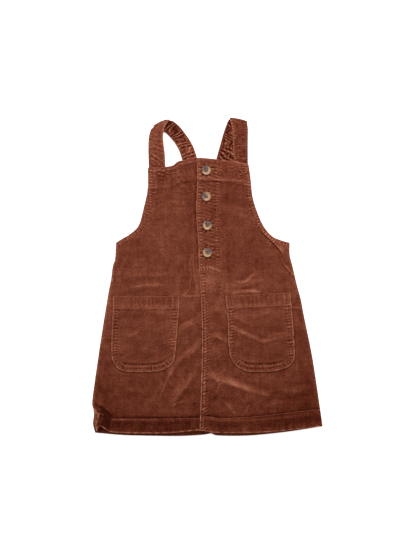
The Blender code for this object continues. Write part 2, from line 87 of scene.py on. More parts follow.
FRONT_HEM = [(-181, -254.4), (-178.6, -247.4), (-174.8, -245.4), (-169, -248.4), (-163.5, -251.9),
             (-156, -254.4), (-140.8, -255.6), (-100.1, -256.4), (-56.5, -255.6), (-12.9, -251.6),
             (14.2, -255.3), (63.1, -255.6), (103.9, -254), (144.7, -249.9), (188.8, -244.8)]
BACK_HEM = [(-183.8, -255.4), (-140.8, -259.2), (-100.1, -260.4), (-45.7, -260.9), (-7.6, -258.9),
            (6, -257), (18, -260.2), (63.1, -260.4), (103.9, -257.1), (144.7, -252), (188.8, -244.8)]
HEM_ROW_LEFT = [(-158, -233.2), (-118, -232.8), (-78.3, -232.5), (-23.9, -231.6), (-11, -230.8)]
HEM_ROW_RIGHT = [(-9, -229.4), (3.4, -228.9), (22.4, -231.6), (63.1, -230.3), (117.5, -224.8), (172, -218),
                 (185, -216.6)]
BIB_TOP = [(-97.4, 178.8), (-61, 181.1), (-48.8, 188.5), (-39.3, 190.8), (-18.4, 194.6), (6.8, 193.2),
           (27.5, 190.6), (44.4, 189.3), (67.6, 184)]
BACK_TOP = [(-44, 175), (2.8, 172), (38, 175)]

# Where one layer lies over another: x0, x1, y0, y1, blend across, blend along, rise
LIFTS = [(-108, -56, 128, 250, 9, 28, 1), (32, 80, 128, 250, 9, 28, 1), (-62, 66, 92, 250, 16, 62, 1.9)]

# Broad folds that the cloth keeps from lying flat; each runs through its points and dies away at both ends
FOLDS = [Crease([(-6, -156.5), (4.3, -162.6), (29, -170.6), (61.7, -182), (97.8, -193.2), (112, -197.4)],
                10.5, 1.02, 0.26, 0.14),
         Crease([(-4, -58), (-20, -71), (-44, -84), (-60, -92)], 12, 1.2, 0.2),
         Crease([(-13, -151), (-24.5, -164.5), (-36, -177), (-47.5, -191), (-56.5, -204), (-62, -217)], 11,
                1, -0.2, 0.24),
         Crease([(-4, -98), (-16, -113), (-34, -129), (-54, -146), (-66, -172)], 10, 0.8, -0.2, 0.2),
         Crease([(30, -16), (56, -13), (76, -5), (96, 2)], 11, 0.9, 0.1),
         Crease([(30, -30), (58, -24), (94, -26)], 9, 1, 0.2),
         Crease([(-146, -24), (-104, -14), (-56, -13)], 10, 0.9, 0.1),
         Crease([(22, -76), (62, -92), (98, -110)], 14, 1, 0.2),
         Crease([(80, -110), (109, -104), (140, -90)], 14, 0.8, 0.2),
         Crease([(86, 92), (118, 54), (142, 10)], 12, 0.5, 0),
         Crease([(-190, -214), (-184, -220), (-178, -232)], 6, 0.8, 0),
         Crease([(4, -92), (20, -98), (40, -112)], 9, 0.6, 0.2),
         Crease([(12, 108), (48, 113), (80, 100)], 12, 0.6, 0.2),
         Crease([(-150, -170), (-120, -182), (-84, -180)], 16, 0.8, 0.2),
         Crease([(110, -176), (140, -186), (172, -180)], 14, 0.7, 0.2)]

# Sharper creases pressed into the nap
CREASES = [
    Crease([(-142, -22), (-122.8, -17.1), (-103.9, -14.5), (-85, -13.4), (-62, -14.6)], 3, 0.2, 0.3),
    Crease([(38, -31), (52, -24.6), (70, -23.2), (94, -26)], 3.8, 0.34, 0.4),
    Crease([(34, -4), (42.1, -6.6), (56.8, -9), (66.7, -5.2), (73.2, 1.6), (83.1, 5), (92, 5)], 4.8, 0.48,
           0.3),
    Crease([(50, -16), (62, -18.5), (76, -15)], 4.6, -0.16, 0),
    Crease([(62, -20), (79.8, -10.1), (96, 0)], 6, 0.2, 0.2),
    Crease([(-6, 15), (4, 15.6), (10, 13), (18.4, 10.2), (28, 8)], 3.6, 0.5, 0.2),
    Crease([(0, -94), (16.2, -99), (30, -105)], 3.4, 0.24, 0.3),
    Crease([(2, -118), (18, -124), (36, -134)], 4, 0.16, 0.3),
    Crease([(-2, -158.6), (4.3, -162.2), (20.7, -169.6), (37.1, -174.9), (53.5, -179.9), (70, -185.3),
            (86.3, -190.8), (104, -195.2)],
           4.6, 0.15, 0.5, 0.12),
    Crease([(-12, -108), (-31.7, -122), (-52, -144)], 6, 0.34, -0.3),
    Crease([(-50, -140), (-66, -170), (-82, -210)], 3.4, 0.28, -0.4),
    Crease([(-13, -146), (-29, -169), (-42.5, -192.5)], 6, 0.18, -0.4),
    Crease([(-62, -213.5), (-46, -206), (-30, -204)], 3, 0.48, 0.3),
    Crease([(-50, -186), (-34, -181), (-20, -186)], 4.5, 0.18, 0),
    Crease([(22, -198), (34, -211), (48, -229)], 4.4, 0.42, 0.3),
    Crease([(55, -230), (61, -221), (70, -206)], 4.4, 0.4, -0.3),
    Crease([(90, -214), (112, -206), (132, -208)], 6, 0.2, 0.2),
    Crease([(132, -50.5), (146, -51), (160, -51)], 2.8, 0.3, 0.4),
    Crease([(24, 112), (40, 106), (56, 101), (80, 93)], 6.5, 0.34, 0.2),
    Crease([(38, 72), (50, 68), (62, 70)], 6.5, 0.2, 0),
    Crease([(-42, 165), (-28, 158), (-20, 136)], 2.8, 0.28, 0.3),
    Crease([(-50, 158), (-36, 146), (-27, 122)], 3, 0.2, 0.3),
    Crease([(-54, 123), (-44, 118), (-36, 123)], 3, 0.18, 0),
    Crease([(-73, 114), (-80, 104), (-86, 96)], 3.4, 0.16, 0),
    Crease([(-62, 64), (-50, 60), (-42, 58)], 3.4, 0.16, 0.2),
    Crease([(-128, 40), (-140, 18), (-149, -6)], 6, 0.2, 0.2),
    Crease([(-114, 18), (-80, 14), (-48, 20)], 7, 0.16, 0.2),
    Crease([(-124, 3), (-92, 5), (-54, 5)], 7, 0.26, 0),
    Crease([(-30, -56), (-22, -78), (-18, -100)], 6, 0.16, 0),
    Crease([(88, 12), (108, 4), (128, -10)], 6, 0.18, 0.2),
    Crease([(20, 2), (30, -12), (34, -28)], 5, 0.14, 0.2),
    Crease([(-156, -150), (-140, -158), (-122, -158)], 5, 0.16, 0.2),
    Crease([(-187, -205), (-176, -212.5), (-166, -220), (-155, -232)], 5, -0.5, 0),
    Crease([(-187, -221), (-177.7, -223.4), (-167, -227)], 2.8, 0.5, 0, 0.2),
]

# Sharp steps, high on the left of their run: the underarm tuck and the print of the button stand, each
# painted lighter above the step as highlight (light) and darker below it as shadow (dark)
TUCKS = {
    "right": [
        Tuck([(83, 79), (94.1, 69), (117.5, 45), (125, 33)], 0.45, 9, 0.35, 0.75),
        Tuck([(120, 25), (131, 12), (143, -2)], 0.18, 6, 0.5, 0.45),
    ],
    "left": [
        Tuck([(-44, -32.4), (-26.8, -32.8), (-7, -33)], 0.1, 6, 0.42, 0.08),
        Tuck([(-45, -33), (-32.6, -26.5), (-27.3, -18.3), (-26.6, -7.6), (-24.5, 3), (-26.6, 19.4),
              (-23.9, 40)],
             -0.08, 5, 0.5, 0.12),
        Tuck([(-14.5, -30), (-16, -14), (-20, 6), (-21.6, 22), (-21.6, 44)], 0.05, 3, 0.34, 0.16),
    ],
}

# Soft patches, partly tone and partly painted light and painted shade: place, half widths across and along,
# how much lighter or darker, and perhaps a turn and a rumple
PATCHES = {
    "front_left": [
        (-28, 128, 8, 42, -0.2), (-86, 146, 12, 40, -0.05, 0, 0.14), (-96, 112, 9, 30, 0.05, -0.2, 0.1),
        (-74, 168, 22, 9, -0.12, 0.4, 0.18), (-118, -200, 62, 40, -0.22), (-96, 4, 50, 26, 0.04),
        (-164, -236, 9.5, 14, -0.7), (-164, -226, 10, 7, -0.42, -0.6), (-180, -217, 6, 4, 0.2, -0.5),
        (-90, -239, 80, 10, -0.18), (-13.5, -6, 6, 24, 0.46), (-38, -44, 20, 26, 0.16),
        (-66, 68, 26, 14, 0.12), (-166, -40, 14, 60, 0.22, 0.14), (-180, -178, 10, 30, -0.16),
        (-26, -120, 14, 10, 0.25, 0.6), (-50, -185, 20, 7, 0.32, 0.95), (-20, -216, 18, 14, -0.2),
        (-56, -234, 54, 6, -0.18), (-162, -106, 6, 13, -0.22), (-48, -16, 4, 14, 0.24),
        (-113, -12, 9, 5, -0.2), (-72, 156, 8, 10, -0.16), (-93, 132, 6, 24, 0.18),
        (-32, 108, 12, 12, 0.15), (-105, 72, 8, 13, -0.14), (-36, 16, 10, 16, -0.2),
        (-30, 38, 5, 28, -0.15), (-18, -192, 16, 14, -0.18), (-14, -234, 12, 8, -0.26),
        (-164, -186, 9, 20, -0.14), (-52, -30, 9, 9, 0.26), (-84, 4, 16, 6, 0.14, 0.2),
        (-34, -82, 14, 16, 0.14), (-122, 65, 15, 5, 0.2, 0.5), (-77.5, 160, 5, 12, -0.2, 0.1),
        (-58, 170, 20, 14, 0, 0, 0.15), (-40, 150, 16, 16, 0, 0.5, 0.1), (-166, -132, 6, 8, -0.12),
        (-21, -141, 8, 5, -0.18), (-88, 168, 13, 13, 0.18), (-166, -204, 9, 38, -0.14),
    ],
    "front_right": [
        (62, -10, 60, 20, 0.08), (62, 34, 40, 14, -0.1), (52, 134, 16, 18, -0.18), (16, 42, 7, 18, -0.2),
        (105, 46, 14, 7, -0.16), (116, 13, 18, 8, 0.14), (114, -11, 14, 6, 0.14), (25, 0, 6, 7, -0.26),
        (20, 172, 12, 12, -0.15), (9, -207, 9, 5, 0.3), (12, 116, 9, 26, -0.22), (34, -54, 7, 10, 0.26),
        (36, -16, 8, 10, 0.2), (46, 190, 16, 10, 0.3, -0.3), (160, -166, 11, 44, -0.32, 0.12),
        (148, -100, 12, 16, -0.2), (30, -200, 14, 8, -0.18), (31, -62, 7, 18, 0.24),
        (10, -62, 8, 16, -0.18), (124, 46, 8, 12, 0.18), (128, -205, 66, 44, -0.36),
        (84, 52, 40, 12, 0.1, -0.2), (3, 3, 14, 15, 0.3, 0, 0.04), (2, -9, 12, 10, 0.16, 0, 0.03),
        (20, -20, 9, 9, -0.14, 0.4, 0.18), (16, 174, 14, 14, 0, 0, 0.16), (56, 170, 13, 15, -0.08, 0, 0.24),
        (10, 90, 12, 80, 0, 0, 0.05), (24, 76, 10, 30, 0, 0, 0.05), (42, -172, 38, 6.4, 0.42, -0.34),
        (54, -185, 44, 4.5, 0.2, -0.34), (86, -165, 30, 12, 0.16, -0.1), (78, -196, 26, 5, 0.2, -0.32),
        (4, -194, 20, 7, -0.16), (70, 130, 8, 40, 0, 0, 0.08), (16, -165, 12, 50, 0, 0, 0.09),
        (8, -205, 12, 36, -0.3), (6, -138, 24, 6, -0.24), (16, -53, 13, 6, 0.32), (-3, -233, 10, 8, -0.28),
        (76, 56, 8, 11, -0.24), (104, 18, 12, 8, -0.08), (22, 58, 6, 12, -0.22), (16, 9, 8, 5, 0.22),
        (22, -21, 6, 6, -0.18), (36, 110, 8, 8, 0.18), (54, 100, 9, 7, 0.16), (53, 121, 12, 6, -0.18),
        (66, 145, 5, 8, 0.22), (77, 35, 6, 5, 0.22), (112, 58, 17, 5, 0.2, -0.5), (126, -166, 12, 6, 0.14),
        (160, -213, 12, 14, -0.18), (112, -212, 10, 10, 0.14), (36, 176, 20, 10, 0, 0, 0.12),
        (125, -33, 8, 6, -0.16), (57, -207, 8, 5, -0.2), (0, -190, 8, 14, -0.16), (174, -231, 6, 6, 0.18),
        (35, -24, 7, 22, 0.14),
    ],
    "pocket_left": [
        (-66, -56, 16, 12, 0.25), (-110, -136, 44, 16, -0.16), (-104, -84, 40, 16, 0.1, 0.2),
        (-151, -40, 6, 9, 0.3), (-104, -38, 50, 9, 0.1), (-121, -104, 14, 14, -0.12),
        (-108, -129, 12, 4, 0.2), (-60, -84, 14, 20, 0.14), (-118, -100, 14, 6, 0.12),
        (-128, -36, 10, 6, 0.12), (-104, -146, 20, 4, -0.2), (-102, -42, 14, 5, -0.18),
    ],
    "pocket_right": [
        (90, -140, 45, 26, -0.18), (120, -122, 14, 12, -0.14), (52, -66, 22, 7, 0.18, -0.4),
        (52, -105, 8, 6, -0.22), (84, -113, 9, 7, 0.18), (103, -56, 16, 6, 0.16, 0.1),
        (120, -80, 14, 12, -0.12), (40, -80, 6, 36, 0.12),
    ],
}

POCKETS = {
    "left": [
        (-31.4, -154.6, -45.8), (-56.5, -154.8, -46.7), (-95.7, -156.8, -49.8), (-127, -156.8, -52.6),
        (-138.5, -154.4, -55.6), (-147.5, -148.8, -63.5), (-153, -141, -75), (-155.6, -131, -90),
    ],
    "right": [
        (-31.4, 29.4, 135.8), (-64.4, 33, 138.8), (-103.6, 34.4, 142), (-126, 36.4, 143), (-138, 41, 141),
        (-147, 48.6, 133), (-152.6, 58.5, 118), (-155.4, 70, 99),
    ],
}
POCKET_MOUTH_RISE = {"left": 0, "right": 6}
POCKET_CREASES = {
    "left": [
        Crease([(-144, -92), (-128, -96.5), (-116, -91), (-104, -80)], 5.5, 0.32, 0.2),
        Crease([(-120, -124), (-96, -112), (-78, -88)], 8, 0.35, -0.2),
        Crease([(-146, -62), (-112, -58), (-62, -56)], 9, 0.35, 0.2),
        Crease([(-140, -124), (-112, -132), (-84, -126)], 9, -0.3, 0),
    ],
    "right": [
        Crease([(28, -75.5), (41, -82.5), (57, -90.5), (74, -98.5), (91, -105), (104, -102.5), (124, -97)],
               6.6, 0.76, 0.15, 0.16),
        Crease([(36, -60), (50, -66), (68, -78)], 9, 0.35, 0.2),
        Crease([(62, -64), (84, -60), (116, -52)], 10, 0.3, 0.2),
        Crease([(44, -122), (62, -112), (84, -118)], 8, -0.25, 0),
        Crease([(94, -99), (110, -95), (134, -91)], 4, 0.25, 0.4),
        Crease([(44, -64), (62, -74), (80, -76)], 7, 0.25, 0.3),
    ],
}

# Each strap's rows and fold with its tones: shade and far_shade are painted shade on the reverse,
# bright_side is the edge painted lighter as highlight
LEFT_STRAP = {
    "front": [
        (-95.6, 160, -67.2, 160, 0), (-96, 181.8, -68.6, 181.3, 0), (-96.6, 201.5, -69.6, 202, 0),
        (-96.6, 219.5, -71.4, 217.2, 0.8), (-95.4, 231.5, -72.4, 229.6, 2.4), (-92.4, 242, -70.6, 244, 4),
    ],
    "fold": (-87.3, 245.4, -62.4, 255.7),
    "back": [
        (-78, 241.6, -56.6, 255.6, 0), (-68.6, 236.2, -46.6, 247.8, 0), (-61.2, 229, -37.5, 236.6, 0),
        (-53.7, 219.6, -29.1, 224.9, 0), (-46.5, 207.6, -22.3, 212.1, 0), (-40.8, 190.8, -16.6, 194.6, 0),
        (-33.8, 174, -11.2, 177.8, 0), (-27, 155, -5, 160, 0),
    ],
    "crown": 1.8, "turn_over": False, "tone": 0.22, "fold_tone": 0.18, "foot_tone": -0.22, "shade": 0.24,
    "far_shade": -0.4, "lean": 0.24, "bright_side": 1,
}
RIGHT_STRAP = {
    "front": [
        (67, 160, 43.4, 160, 0), (66.6, 185, 44.4, 189.8, 0), (66.4, 206, 42.2, 207.7, 1),
        (66.4, 226, 41.6, 226, 2.6), (66.6, 243, 40.8, 243, 3.6),
    ],
    "fold": (65, 252.4, 36.4, 258.2),
    "back": [
        (58.8, 247, 33, 254.2, 0), (52.3, 231, 26.5, 235.9, 0), (48, 211.3, 21.2, 217.2, 0),
        (46.4, 191.6, 14.5, 192.6, 0), (36, 174, 11.2, 175, 0), (29, 156, 6.6, 156, 0),
    ],
    "crown": 1.3, "turn_over": True, "tone": -0.14, "fold_tone": 0.14, "foot_tone": 0, "shade": 0.22,
    "far_shade": 0, "lean": -0.5, "bright_side": -1,
}
STRAP_CREASES = {
    "left": [
        Crease([(-13, 44), (-4, 38), (6, 30), (13, 27)], 3, 0.55, 0.2, 0.2),
        Crease([(-12, 36), (-2, 29), (8, 22)], 2.8, 0.5, -0.2, 0.2),
        Crease([(-12, 29), (-3, 24), (11, 20)], 2.8, 0.4, 0.2, 0.2),
        Crease([(-10, 56), (0, 53), (10, 46)], 4, 0.2, 0),
        Crease([(-6, 72), (2, 66), (12, 64)], 4, 0.18, 0),
    ],
    "right": [
        Crease([(-11, 36), (0, 33), (11, 35)], 3.4, 0.3, 0.2),
        Crease([(-11, 52), (0, 54), (11, 52)], 3.4, 0.26, -0.2),
        Crease([(-11, 70), (0, 67), (11, 70)], 4, 0.24, 0.1),
        Crease([(-11, 22), (0, 18), (11, 20)], 3.4, 0.24, 0),
    ],
}
FOLD_RADIUS, EDGE_ROLL, FOLD_SHOULDER = 1.2, 0.3, 0.7
STRAP_REST, CLIMB_START, CLIMB_END = 0.1, 16.0, 6.0

BUTTONS = [(-1.6, 173.8), (-1.4, 131.4), (-0.1, 84.1), (-0.1, 39.6)]
BLOOMS = [(-0.3, 0.36, 0.92), (-0.52, 0.12, 0.86), (0.16, 0.46, 0.86), (0.3, 0.4, 0.92)]  # middle, radius
BUTTON_RADIUS, BUTTON_THICKNESS, BUTTON_RIM, BUTTON_DISH = 7.5, 3.0, 1.7, 0.8
BUTTON_HOLE_RADIUS, BUTTON_HOLE_SPACING = 0.8, 3.2
BUTTONHOLE_FROM, BUTTONHOLE_TO = -2.0, 13.0
# How strongly each kind of mark shows, how wide it is and over what length it changes
WOBBLE_WAVES, WOBBLE_PACES, WOBBLE_LEVEL = 5, (0.45, 1.3), 2.6
RUMPLE_WAVES, RUMPLE_LENGTHS, RUMPLE_LEVEL = 11, (0.7, 1.7), 4.0
CREASE_BODY, CREASE_UNEVEN, CREASE_WAVE = 0.9, 0.25, 40.0
TUCK_MARGIN, TUCK_FADE, TUCK_STEP, TUCK_START = 4.0, 12.0, 1.6, 0.3
TUCK_FOOT, TUCK_FOOT_WIDTH, TUCK_FOOT_DEPTH = 0.7, 0.9, 0.2
TUCK_BROW, TUCK_BROW_WIDTH = 1.5, 1.2
SEAM_MARGIN, ROW_MEAN, ROW_DEPTH, ROW_WIDTH = 4.0, 0.6, 0.16, 0.8
STRIPE_WAVE, STRIPE_HEIGHT = 14.0, 0.15
STRIPE_STRENGTH = (0.85, 0.35, 0.3, 1.3)    # mean, spread, least and most
RUNG_STRENGTH = (0.8, 0.35, 0.25, 1.35)
RUCK_STRENGTH = (0.85, 0.5, 0.25, 1.5)
RUNG_START, RUNG_BOW, RUNG_BOW_SPREAD, RUNG_BOW_WAVE = 1.6, 0.1, 0.22, 26.0
RUNG_DRIFT, RUNG_DRIFT_PERIODS, RUNG_FORCE_PERIODS = 0.2, 5.0, 3.5
RUNG_RUMPLE, RUNG_RUMPLE_SIZE, RUNG_RUMPLE_NAP, RUNG_LIGHT = 0.3, 5.0, 0.4, 1.5
PATCH_RUMPLE_SIZE, PATCH_RUMPLE_STRETCH = 7.5, 2.0
# How much crests are painted lighter and furrows darker, as highlight and shade
FINE_BLUR, BROAD_BLUR, CREST_LIGHT, FURROW_PAINTED_SHADE, BROAD_PAINTED_SHADING = 1.6, 6.0, 1.5, 1.2, 0.45

# The grids that the meshes are made on, and a stitch: rings of place along it, radius and dip
FRONT_SPACING, POCKET_SPACING, STRAP_SPACING, STRAP_STEP = 1.05, 0.95, 0.85, 0.7
FRONT_WIDTHS, POCKET_GRID, STRAP_WIDTH = {"left": 168.0, "right": 200.0}, (112.0, 150.0), 26.0
BACK_GRID, BACK_ROW_SPACING = (185.0, 2.6), 2.4
EDGE_STEPS = np.array([0.0, 0.1, 0.3, 0.6, 1.0, 1.5])
RIM_LEVEL, UNDER_MARGIN, UNDER_ROW_STEP, UNDER_COLUMN_STEP = 0.42, 4, 11, 4
STITCH_RINGS = [(-0.5, 0.35, -1.2), (-0.38, 0.9, -0.1), (0.0, 1.0, 0.35), (0.38, 0.9, -0.1),
                (0.5, 0.35, -1.2)]
STITCH_SIDES, THREAD_RISE = 5, 0.12

# Fronts and backs
FRONT_WAVES, FRONT_FINE_WAVES = [(0.34, 64, 5), (0.12, 24, 6, 1.3)], [(0.05, 9, 7)]
WAVE_LEVEL, CALM_EDGE, FRONT_RELIEF, GRAIN_TURN = 0.25, 14.0, (-0.9, 3.0), 0.6
SKIRT_LAP_TOP, SKIRT_LAP_BLEND, BAND_EASE, BACK_BAND_EASE = -64.0, 40.0, 4.0, 6.0
HEM_SHADE_MARGIN, HEM_SHADE_BLEND, CORNER_BLEND = 1.0, 3.0, 9.0
SHADOW_REACH, SHADOW_FROM, SHADOW_WIDTH, SHADOW_NAP = 6.0, 1.1, 0.9, -0.26
# Buttonholes: welts painted lighter as highlight, slits darker as painted shade, spokes painted light and
# dark
WELT_FROM, WELT_WIDTH, WELT_HEIGHT, WELT_LIGHT = 1.3, 0.8, 0.3, 0.35
SLIT_WIDTH, SLIT_DEPTH, SLIT_PAINTED_SHADE, HOLE_END_BLEND = 0.4, 0.7, 0.5, 1.2
DENT_RADIUS, DENT_DEPTH = 6.0, 0.35
SPOKES, SPOKE_RADIUS, SPOKE_WIDTH, SPOKE_HEIGHT, SPOKE_LIGHT = 9, 10.0, 2.8, 0.12, 0.22
WELT_PITCH, WELT_ASIDE, WELT_RISE, WELT_LEAN, WELT_SLOPE = 0.75, 1.15, 0.1, 0.12, 0.25
WELT_LENGTH, WELT_THREAD = 1.7, 0.22
STITCH_INSET, SIDE_INSET, LEFT_INSET, RIGHT_INSET = 1.0, 1.5, 1.0, 0.6
# Painted shade on the backs' hem bands and a painted shadow at the hem's corner
BACK_RELIEF, BACK_HEM_SHADE = (-0.3, 0.2), {"left": 0.5, "right": 0.2}
CORNER_X, CORNER_Y, CORNER_SPREAD, CORNER_SHADE = -176.5, -249.0, 4.2, 1.4

# Pockets and straps
POCKET_SEED, STRAP_SEED = {"left": 51, "right": 61}, {"left": 81, "right": 91}
POCKET_TURN = {"left": math.radians(-1.5), "right": math.radians(1.5)}
POCKET_BLUR, POCKET_GAP, POCKET_BOTTOM, POCKET_RELIEF = 5, 0.35, -132.0, (-0.8, 3.0)
POCKET_THINNER, POCKET_HEM_EXTRA, POCKET_BOTTOM_BLEND = 0.1, 0.5, 6.0
POCKET_BOTTOM_HALF, POCKET_BOTTOM_FADE, POCKET_BOTTOM_NAP = 40.0, 10.0, 0.12
CALM_AT_MOUTH, CALM_AT_BOTTOM = 0.85, 0.45
POCKET_WAVES = [(0.25, 34, 71), (0.03, 9, 72, 1.5)]     # height, length, seed and stretch
POCKET_NAP_WAVES = [(0.09, 24, 73, 1.6)]
STRAP_ROW_LENGTH, STRAP_LEAST_ROWS, STRAP_SPANS, FOLD_TURNS = 2.5, 4, 6, 9
SOFT_FROM, SOFT_REACH, SHOULDER_WIDTH, SHOULDER_GAP = 6.0, 2.4, 8.0, 2.2
CROWN_FROM, CROWN_FADE, GATHER_FADE = 2.0, 15.0, 8.0
STRAP_NEAR_EDGE, STRAP_ROWS_DEPTH, STRAP_ROWS_WIDTH, STRAP_SIDE_SHIFT = 2.0, 0.14, 0.7, 400.0
PUCKER_DRIFT, PUCKER_FROM, PUCKER_START, PUCKER_TO, PUCKER_END = 0.3, 0.2, 1.2, 5.5, 3.0
PLAIN_EDGE, REVERSE_EDGE, LADDER_EDGE = (5.0, 0.1), (3.8, 0.13), (3.9, 0.4)     # period and height
PLAIN_WAVE, PLAIN_WAVE_LENGTH, PLAIN_BEHIND = 0.11, 20.0, 0.5
SLANT_SPREAD, SLANT_WAVE, RUCK_DRIFT, RUCK_BEND, RUCK_WAVE = 0.28, 40.0, 0.45, 0.14, 20.0
RUCK_PERIOD, RUCK_HEIGHT, RUCK_LEVEL, RUCK_EDGE, RUCK_FORCE_WAVE = 8.8, 1.35, 0.45, 4.5, 15.0
RUCK_RUMPLE, RUCK_RUMPLE_SIZE = 0.25, 7.0
LADDER_RUMPLE, LADDER_SIZE, LADDER_STRETCH = 0.16, 8.0, 1.6
# Painted highlight and painted shade on the straps' crests, edges, rims and fold
STRAP_CREST_LIGHT, REVERSE_CREST_LIGHT, STRAP_BROAD_PAINTED_SHADING = 1.9, 1.6, 0.5
EDGE_LIGHT, FAR_EDGE_LIGHT, EDGE_LIGHT_WIDTH = 1.0, 0.4, 2.0
RIM_LIGHT, FAR_RIM_LIGHT, FAR_RIM_SHADE, FAR_RIM_REACH, RIM_LIGHT_WIDTH = 0.6, 0.7, 1.7, 26.0, 1.3
FOLD_TONE_REACH, FOOT_FROM, FOOT_FADE = 22.0, 46.0, 16.0
FOLD_SHADE, FOLD_SHADE_REACH, FAR_FROM, FAR_FADE = 0.55, 20.0, 34.0, 20.0
TIGHT_WIDTH, TIGHT_REACH, THREAD_EASE = 6.0, 16.0, 4.0
STEEPEST, LEAST_FACING = 0.8, 0.4


# Shapes ----------------------------------------

def smooth(t):
    t = np.clip(t, 0.0, 1.0)
    return t * t * (3.0 - 2.0 * t)


def bell(away, width):
    """1 in the middle, falling softly to nothing over about twice this width."""
    return np.exp(-(away / width) ** 2)


def rounded(from_edge):
    """Share of its thickness that a turned edge has, this far from its rim."""
    return np.sqrt(1.0 - (1.0 - np.clip(from_edge / ROUNDING, 0.0, 1.0)) ** 2)


def faded(along, length, fade):
    """1 along the middle of a run, dying away at both ends."""
    return smooth(along / fade) * smooth((length - along) / fade)


def curve(points, per_span=8):
    """A smooth path through rows of numbers."""
    rows = np.array(points, float)
    rows = np.vstack([2 * rows[0] - rows[1], rows, 2 * rows[-1] - rows[-2]])
    t = (np.arange(per_span) / per_span)[:, None]
    spans = [0.5 * (2 * b + (c - a) * t + (2 * a - 5 * b + 4 * c - d) * t ** 2
                    + (3 * b - a - 3 * c + d) * t ** 3)
             for a, b, c, d in zip(rows, rows[1:], rows[2:], rows[3:])]
    return np.vstack(spans + [rows[-2:-1]])


def travelled(path):
    return np.concatenate([[0.0], np.cumsum(np.linalg.norm(np.diff(path, axis=0), axis=1))])


def at_stations(points, stations):
    """Rows of numbers along the smooth path through points, at shares of its length."""
    path = curve(points)
    length = travelled(path[:, :2])
    return np.stack([np.interp(stations * length[-1], length, column) for column in path.T], axis=1)


def across(points, x):
    path = curve(points)
    return np.interp(x, path[:, 0], path[:, 1])


def wobble(s, length, seed):
    """An uneven number about 0, rarely past 1, that changes over roughly this length."""
    draw = np.random.default_rng(seed)
    total = 0.0
    for _ in range(WOBBLE_WAVES):
        pace = draw.uniform(*WOBBLE_PACES)
        total = total + np.sin(math.tau * s * pace / length + draw.uniform(0, math.tau))
    return total / WOBBLE_LEVEL


def uneven(x, y, length, seed, stretch=1.0):
    """The same over a surface; stretch above 1 makes it change faster along y."""
    draw = np.random.default_rng(seed)
    total = 0.0
    for _ in range(RUMPLE_WAVES):
        angle, wave = draw.uniform(0, math.pi), length * draw.uniform(*RUMPLE_LENGTHS)
        run = x * math.cos(angle) + y * stretch * math.sin(angle)
        total = total + np.sin(math.tau * run / wave + draw.uniform(0, math.tau))
    return total / RUMPLE_LEVEL


def waves(x, y, table):
    """Soft waves added up, each with a height, a length, a seed and perhaps a stretch."""
    return sum(height * uneven(x, y, *wave) for height, *wave in table)


def strength(s, length, seed, mean, spread, least, most):
    return np.clip(mean + spread * wobble(s, length, seed), least, most)


class Line:
    """A line on the cloth, from which any point's place along it and distance aside are measured."""

    def __init__(self, points, smoothed=True):
        self.path = curve(points) if smoothed else np.array(points, float)
        self.stations = travelled(self.path)
        self.length = self.stations[-1]

    def measure(self, x, y, reach=30.0):
        """(along, aside): aside is above 0 on the left of the line's run."""
        shape = np.shape(x)
        x, y = np.ravel(x), np.ravel(y)
        along, aside = np.zeros(len(x)), np.full(len(x), reach)
        low, high = self.path.min(axis=0) - reach, self.path.max(axis=0) + reach
        near = np.flatnonzero((x > low[0]) & (x < high[0]) & (y > low[1]) & (y < high[1]))
        px, py = x[near], y[near]
        best, found, signed = np.full(len(near), reach ** 2), np.zeros(len(near)), np.full(len(near), reach)
        for (x0, y0), (x1, y1), start in zip(self.path, self.path[1:], self.stations):
            dx, dy = x1 - x0, y1 - y0
            length = math.hypot(dx, dy)
            if length < 1e-9:
                continue
            gx, gy = px - x0, py - y0
            t = np.clip((gx * dx + gy * dy) / length ** 2, 0.0, 1.0)
            away = (gx - t * dx) ** 2 + (gy - t * dy) ** 2
            closer = away < best
            best[closer] = away[closer]
            found[closer] = start + t[closer] * length
            side = np.sign(dx * gy - dy * gx)
            signed[closer] = (side * np.sqrt(away))[closer]
        along[near], aside[near] = found, signed
        return along.reshape(shape), aside.reshape(shape)

    def beside(self, stations, aside):
        """Points at a distance aside from the line, and the line's direction there."""
        x = np.interp(stations, self.stations, self.path[:, 0])
        y = np.interp(stations, self.stations, self.path[:, 1])
        before, after = (np.stack([np.interp(near, self.stations, column) for column in self.path.T], axis=1)
                         for near in (stations - 0.5, stations + 0.5))
        ahead = after - before
        ahead /= np.maximum(np.linalg.norm(ahead, axis=1, keepdims=True), 1e-9)
        return x - ahead[:, 1] * aside, y + ahead[:, 0] * aside, ahead


def crease_height(crease, x, y):
    """A ridge, or a trough where its height is below 0, steeper on one side by its lean."""
    line = Line(crease.points)
    along, aside = line.measure(x, y, crease.half_width * (1 + abs(crease.lean)) + 1.0)
    width = crease.half_width * np.where(aside > 0, 1 + crease.lean, 1 - crease.lean)
    share = np.clip(np.abs(aside) / width, 0.0, 1.0)
    body = CREASE_BODY + CREASE_UNEVEN * wobble(along, CREASE_WAVE, int(abs(line.length) * 10))
    end = faded(along, line.length, crease.fade * line.length)
    return crease.height * end * body * np.cos(0.5 * math.pi * share) ** 2


def tuck_relief(tuck, x, y):
    """(height, tone) of a sharp step: a light line of painted highlight on its high side and a dark line of
    painted shadow at the bottom of the step.
    """
    line = Line(tuck.points)
    along, aside = line.measure(x, y, tuck.reach + TUCK_MARGIN)
    end = faded(along, line.length, TUCK_FADE)
    raised = smooth(aside / TUCK_STEP + TUCK_START) * (1.0 - smooth(aside / tuck.reach))
    foot_shadow = tuck.dark * bell(aside + TUCK_FOOT, TUCK_FOOT_WIDTH)
    brow_highlight = tuck.light * bell(aside - TUCK_BROW, TUCK_BROW_WIDTH)
    return end * (tuck.height * raised - TUCK_FOOT_DEPTH * foot_shadow), end * (brow_highlight - foot_shadow)


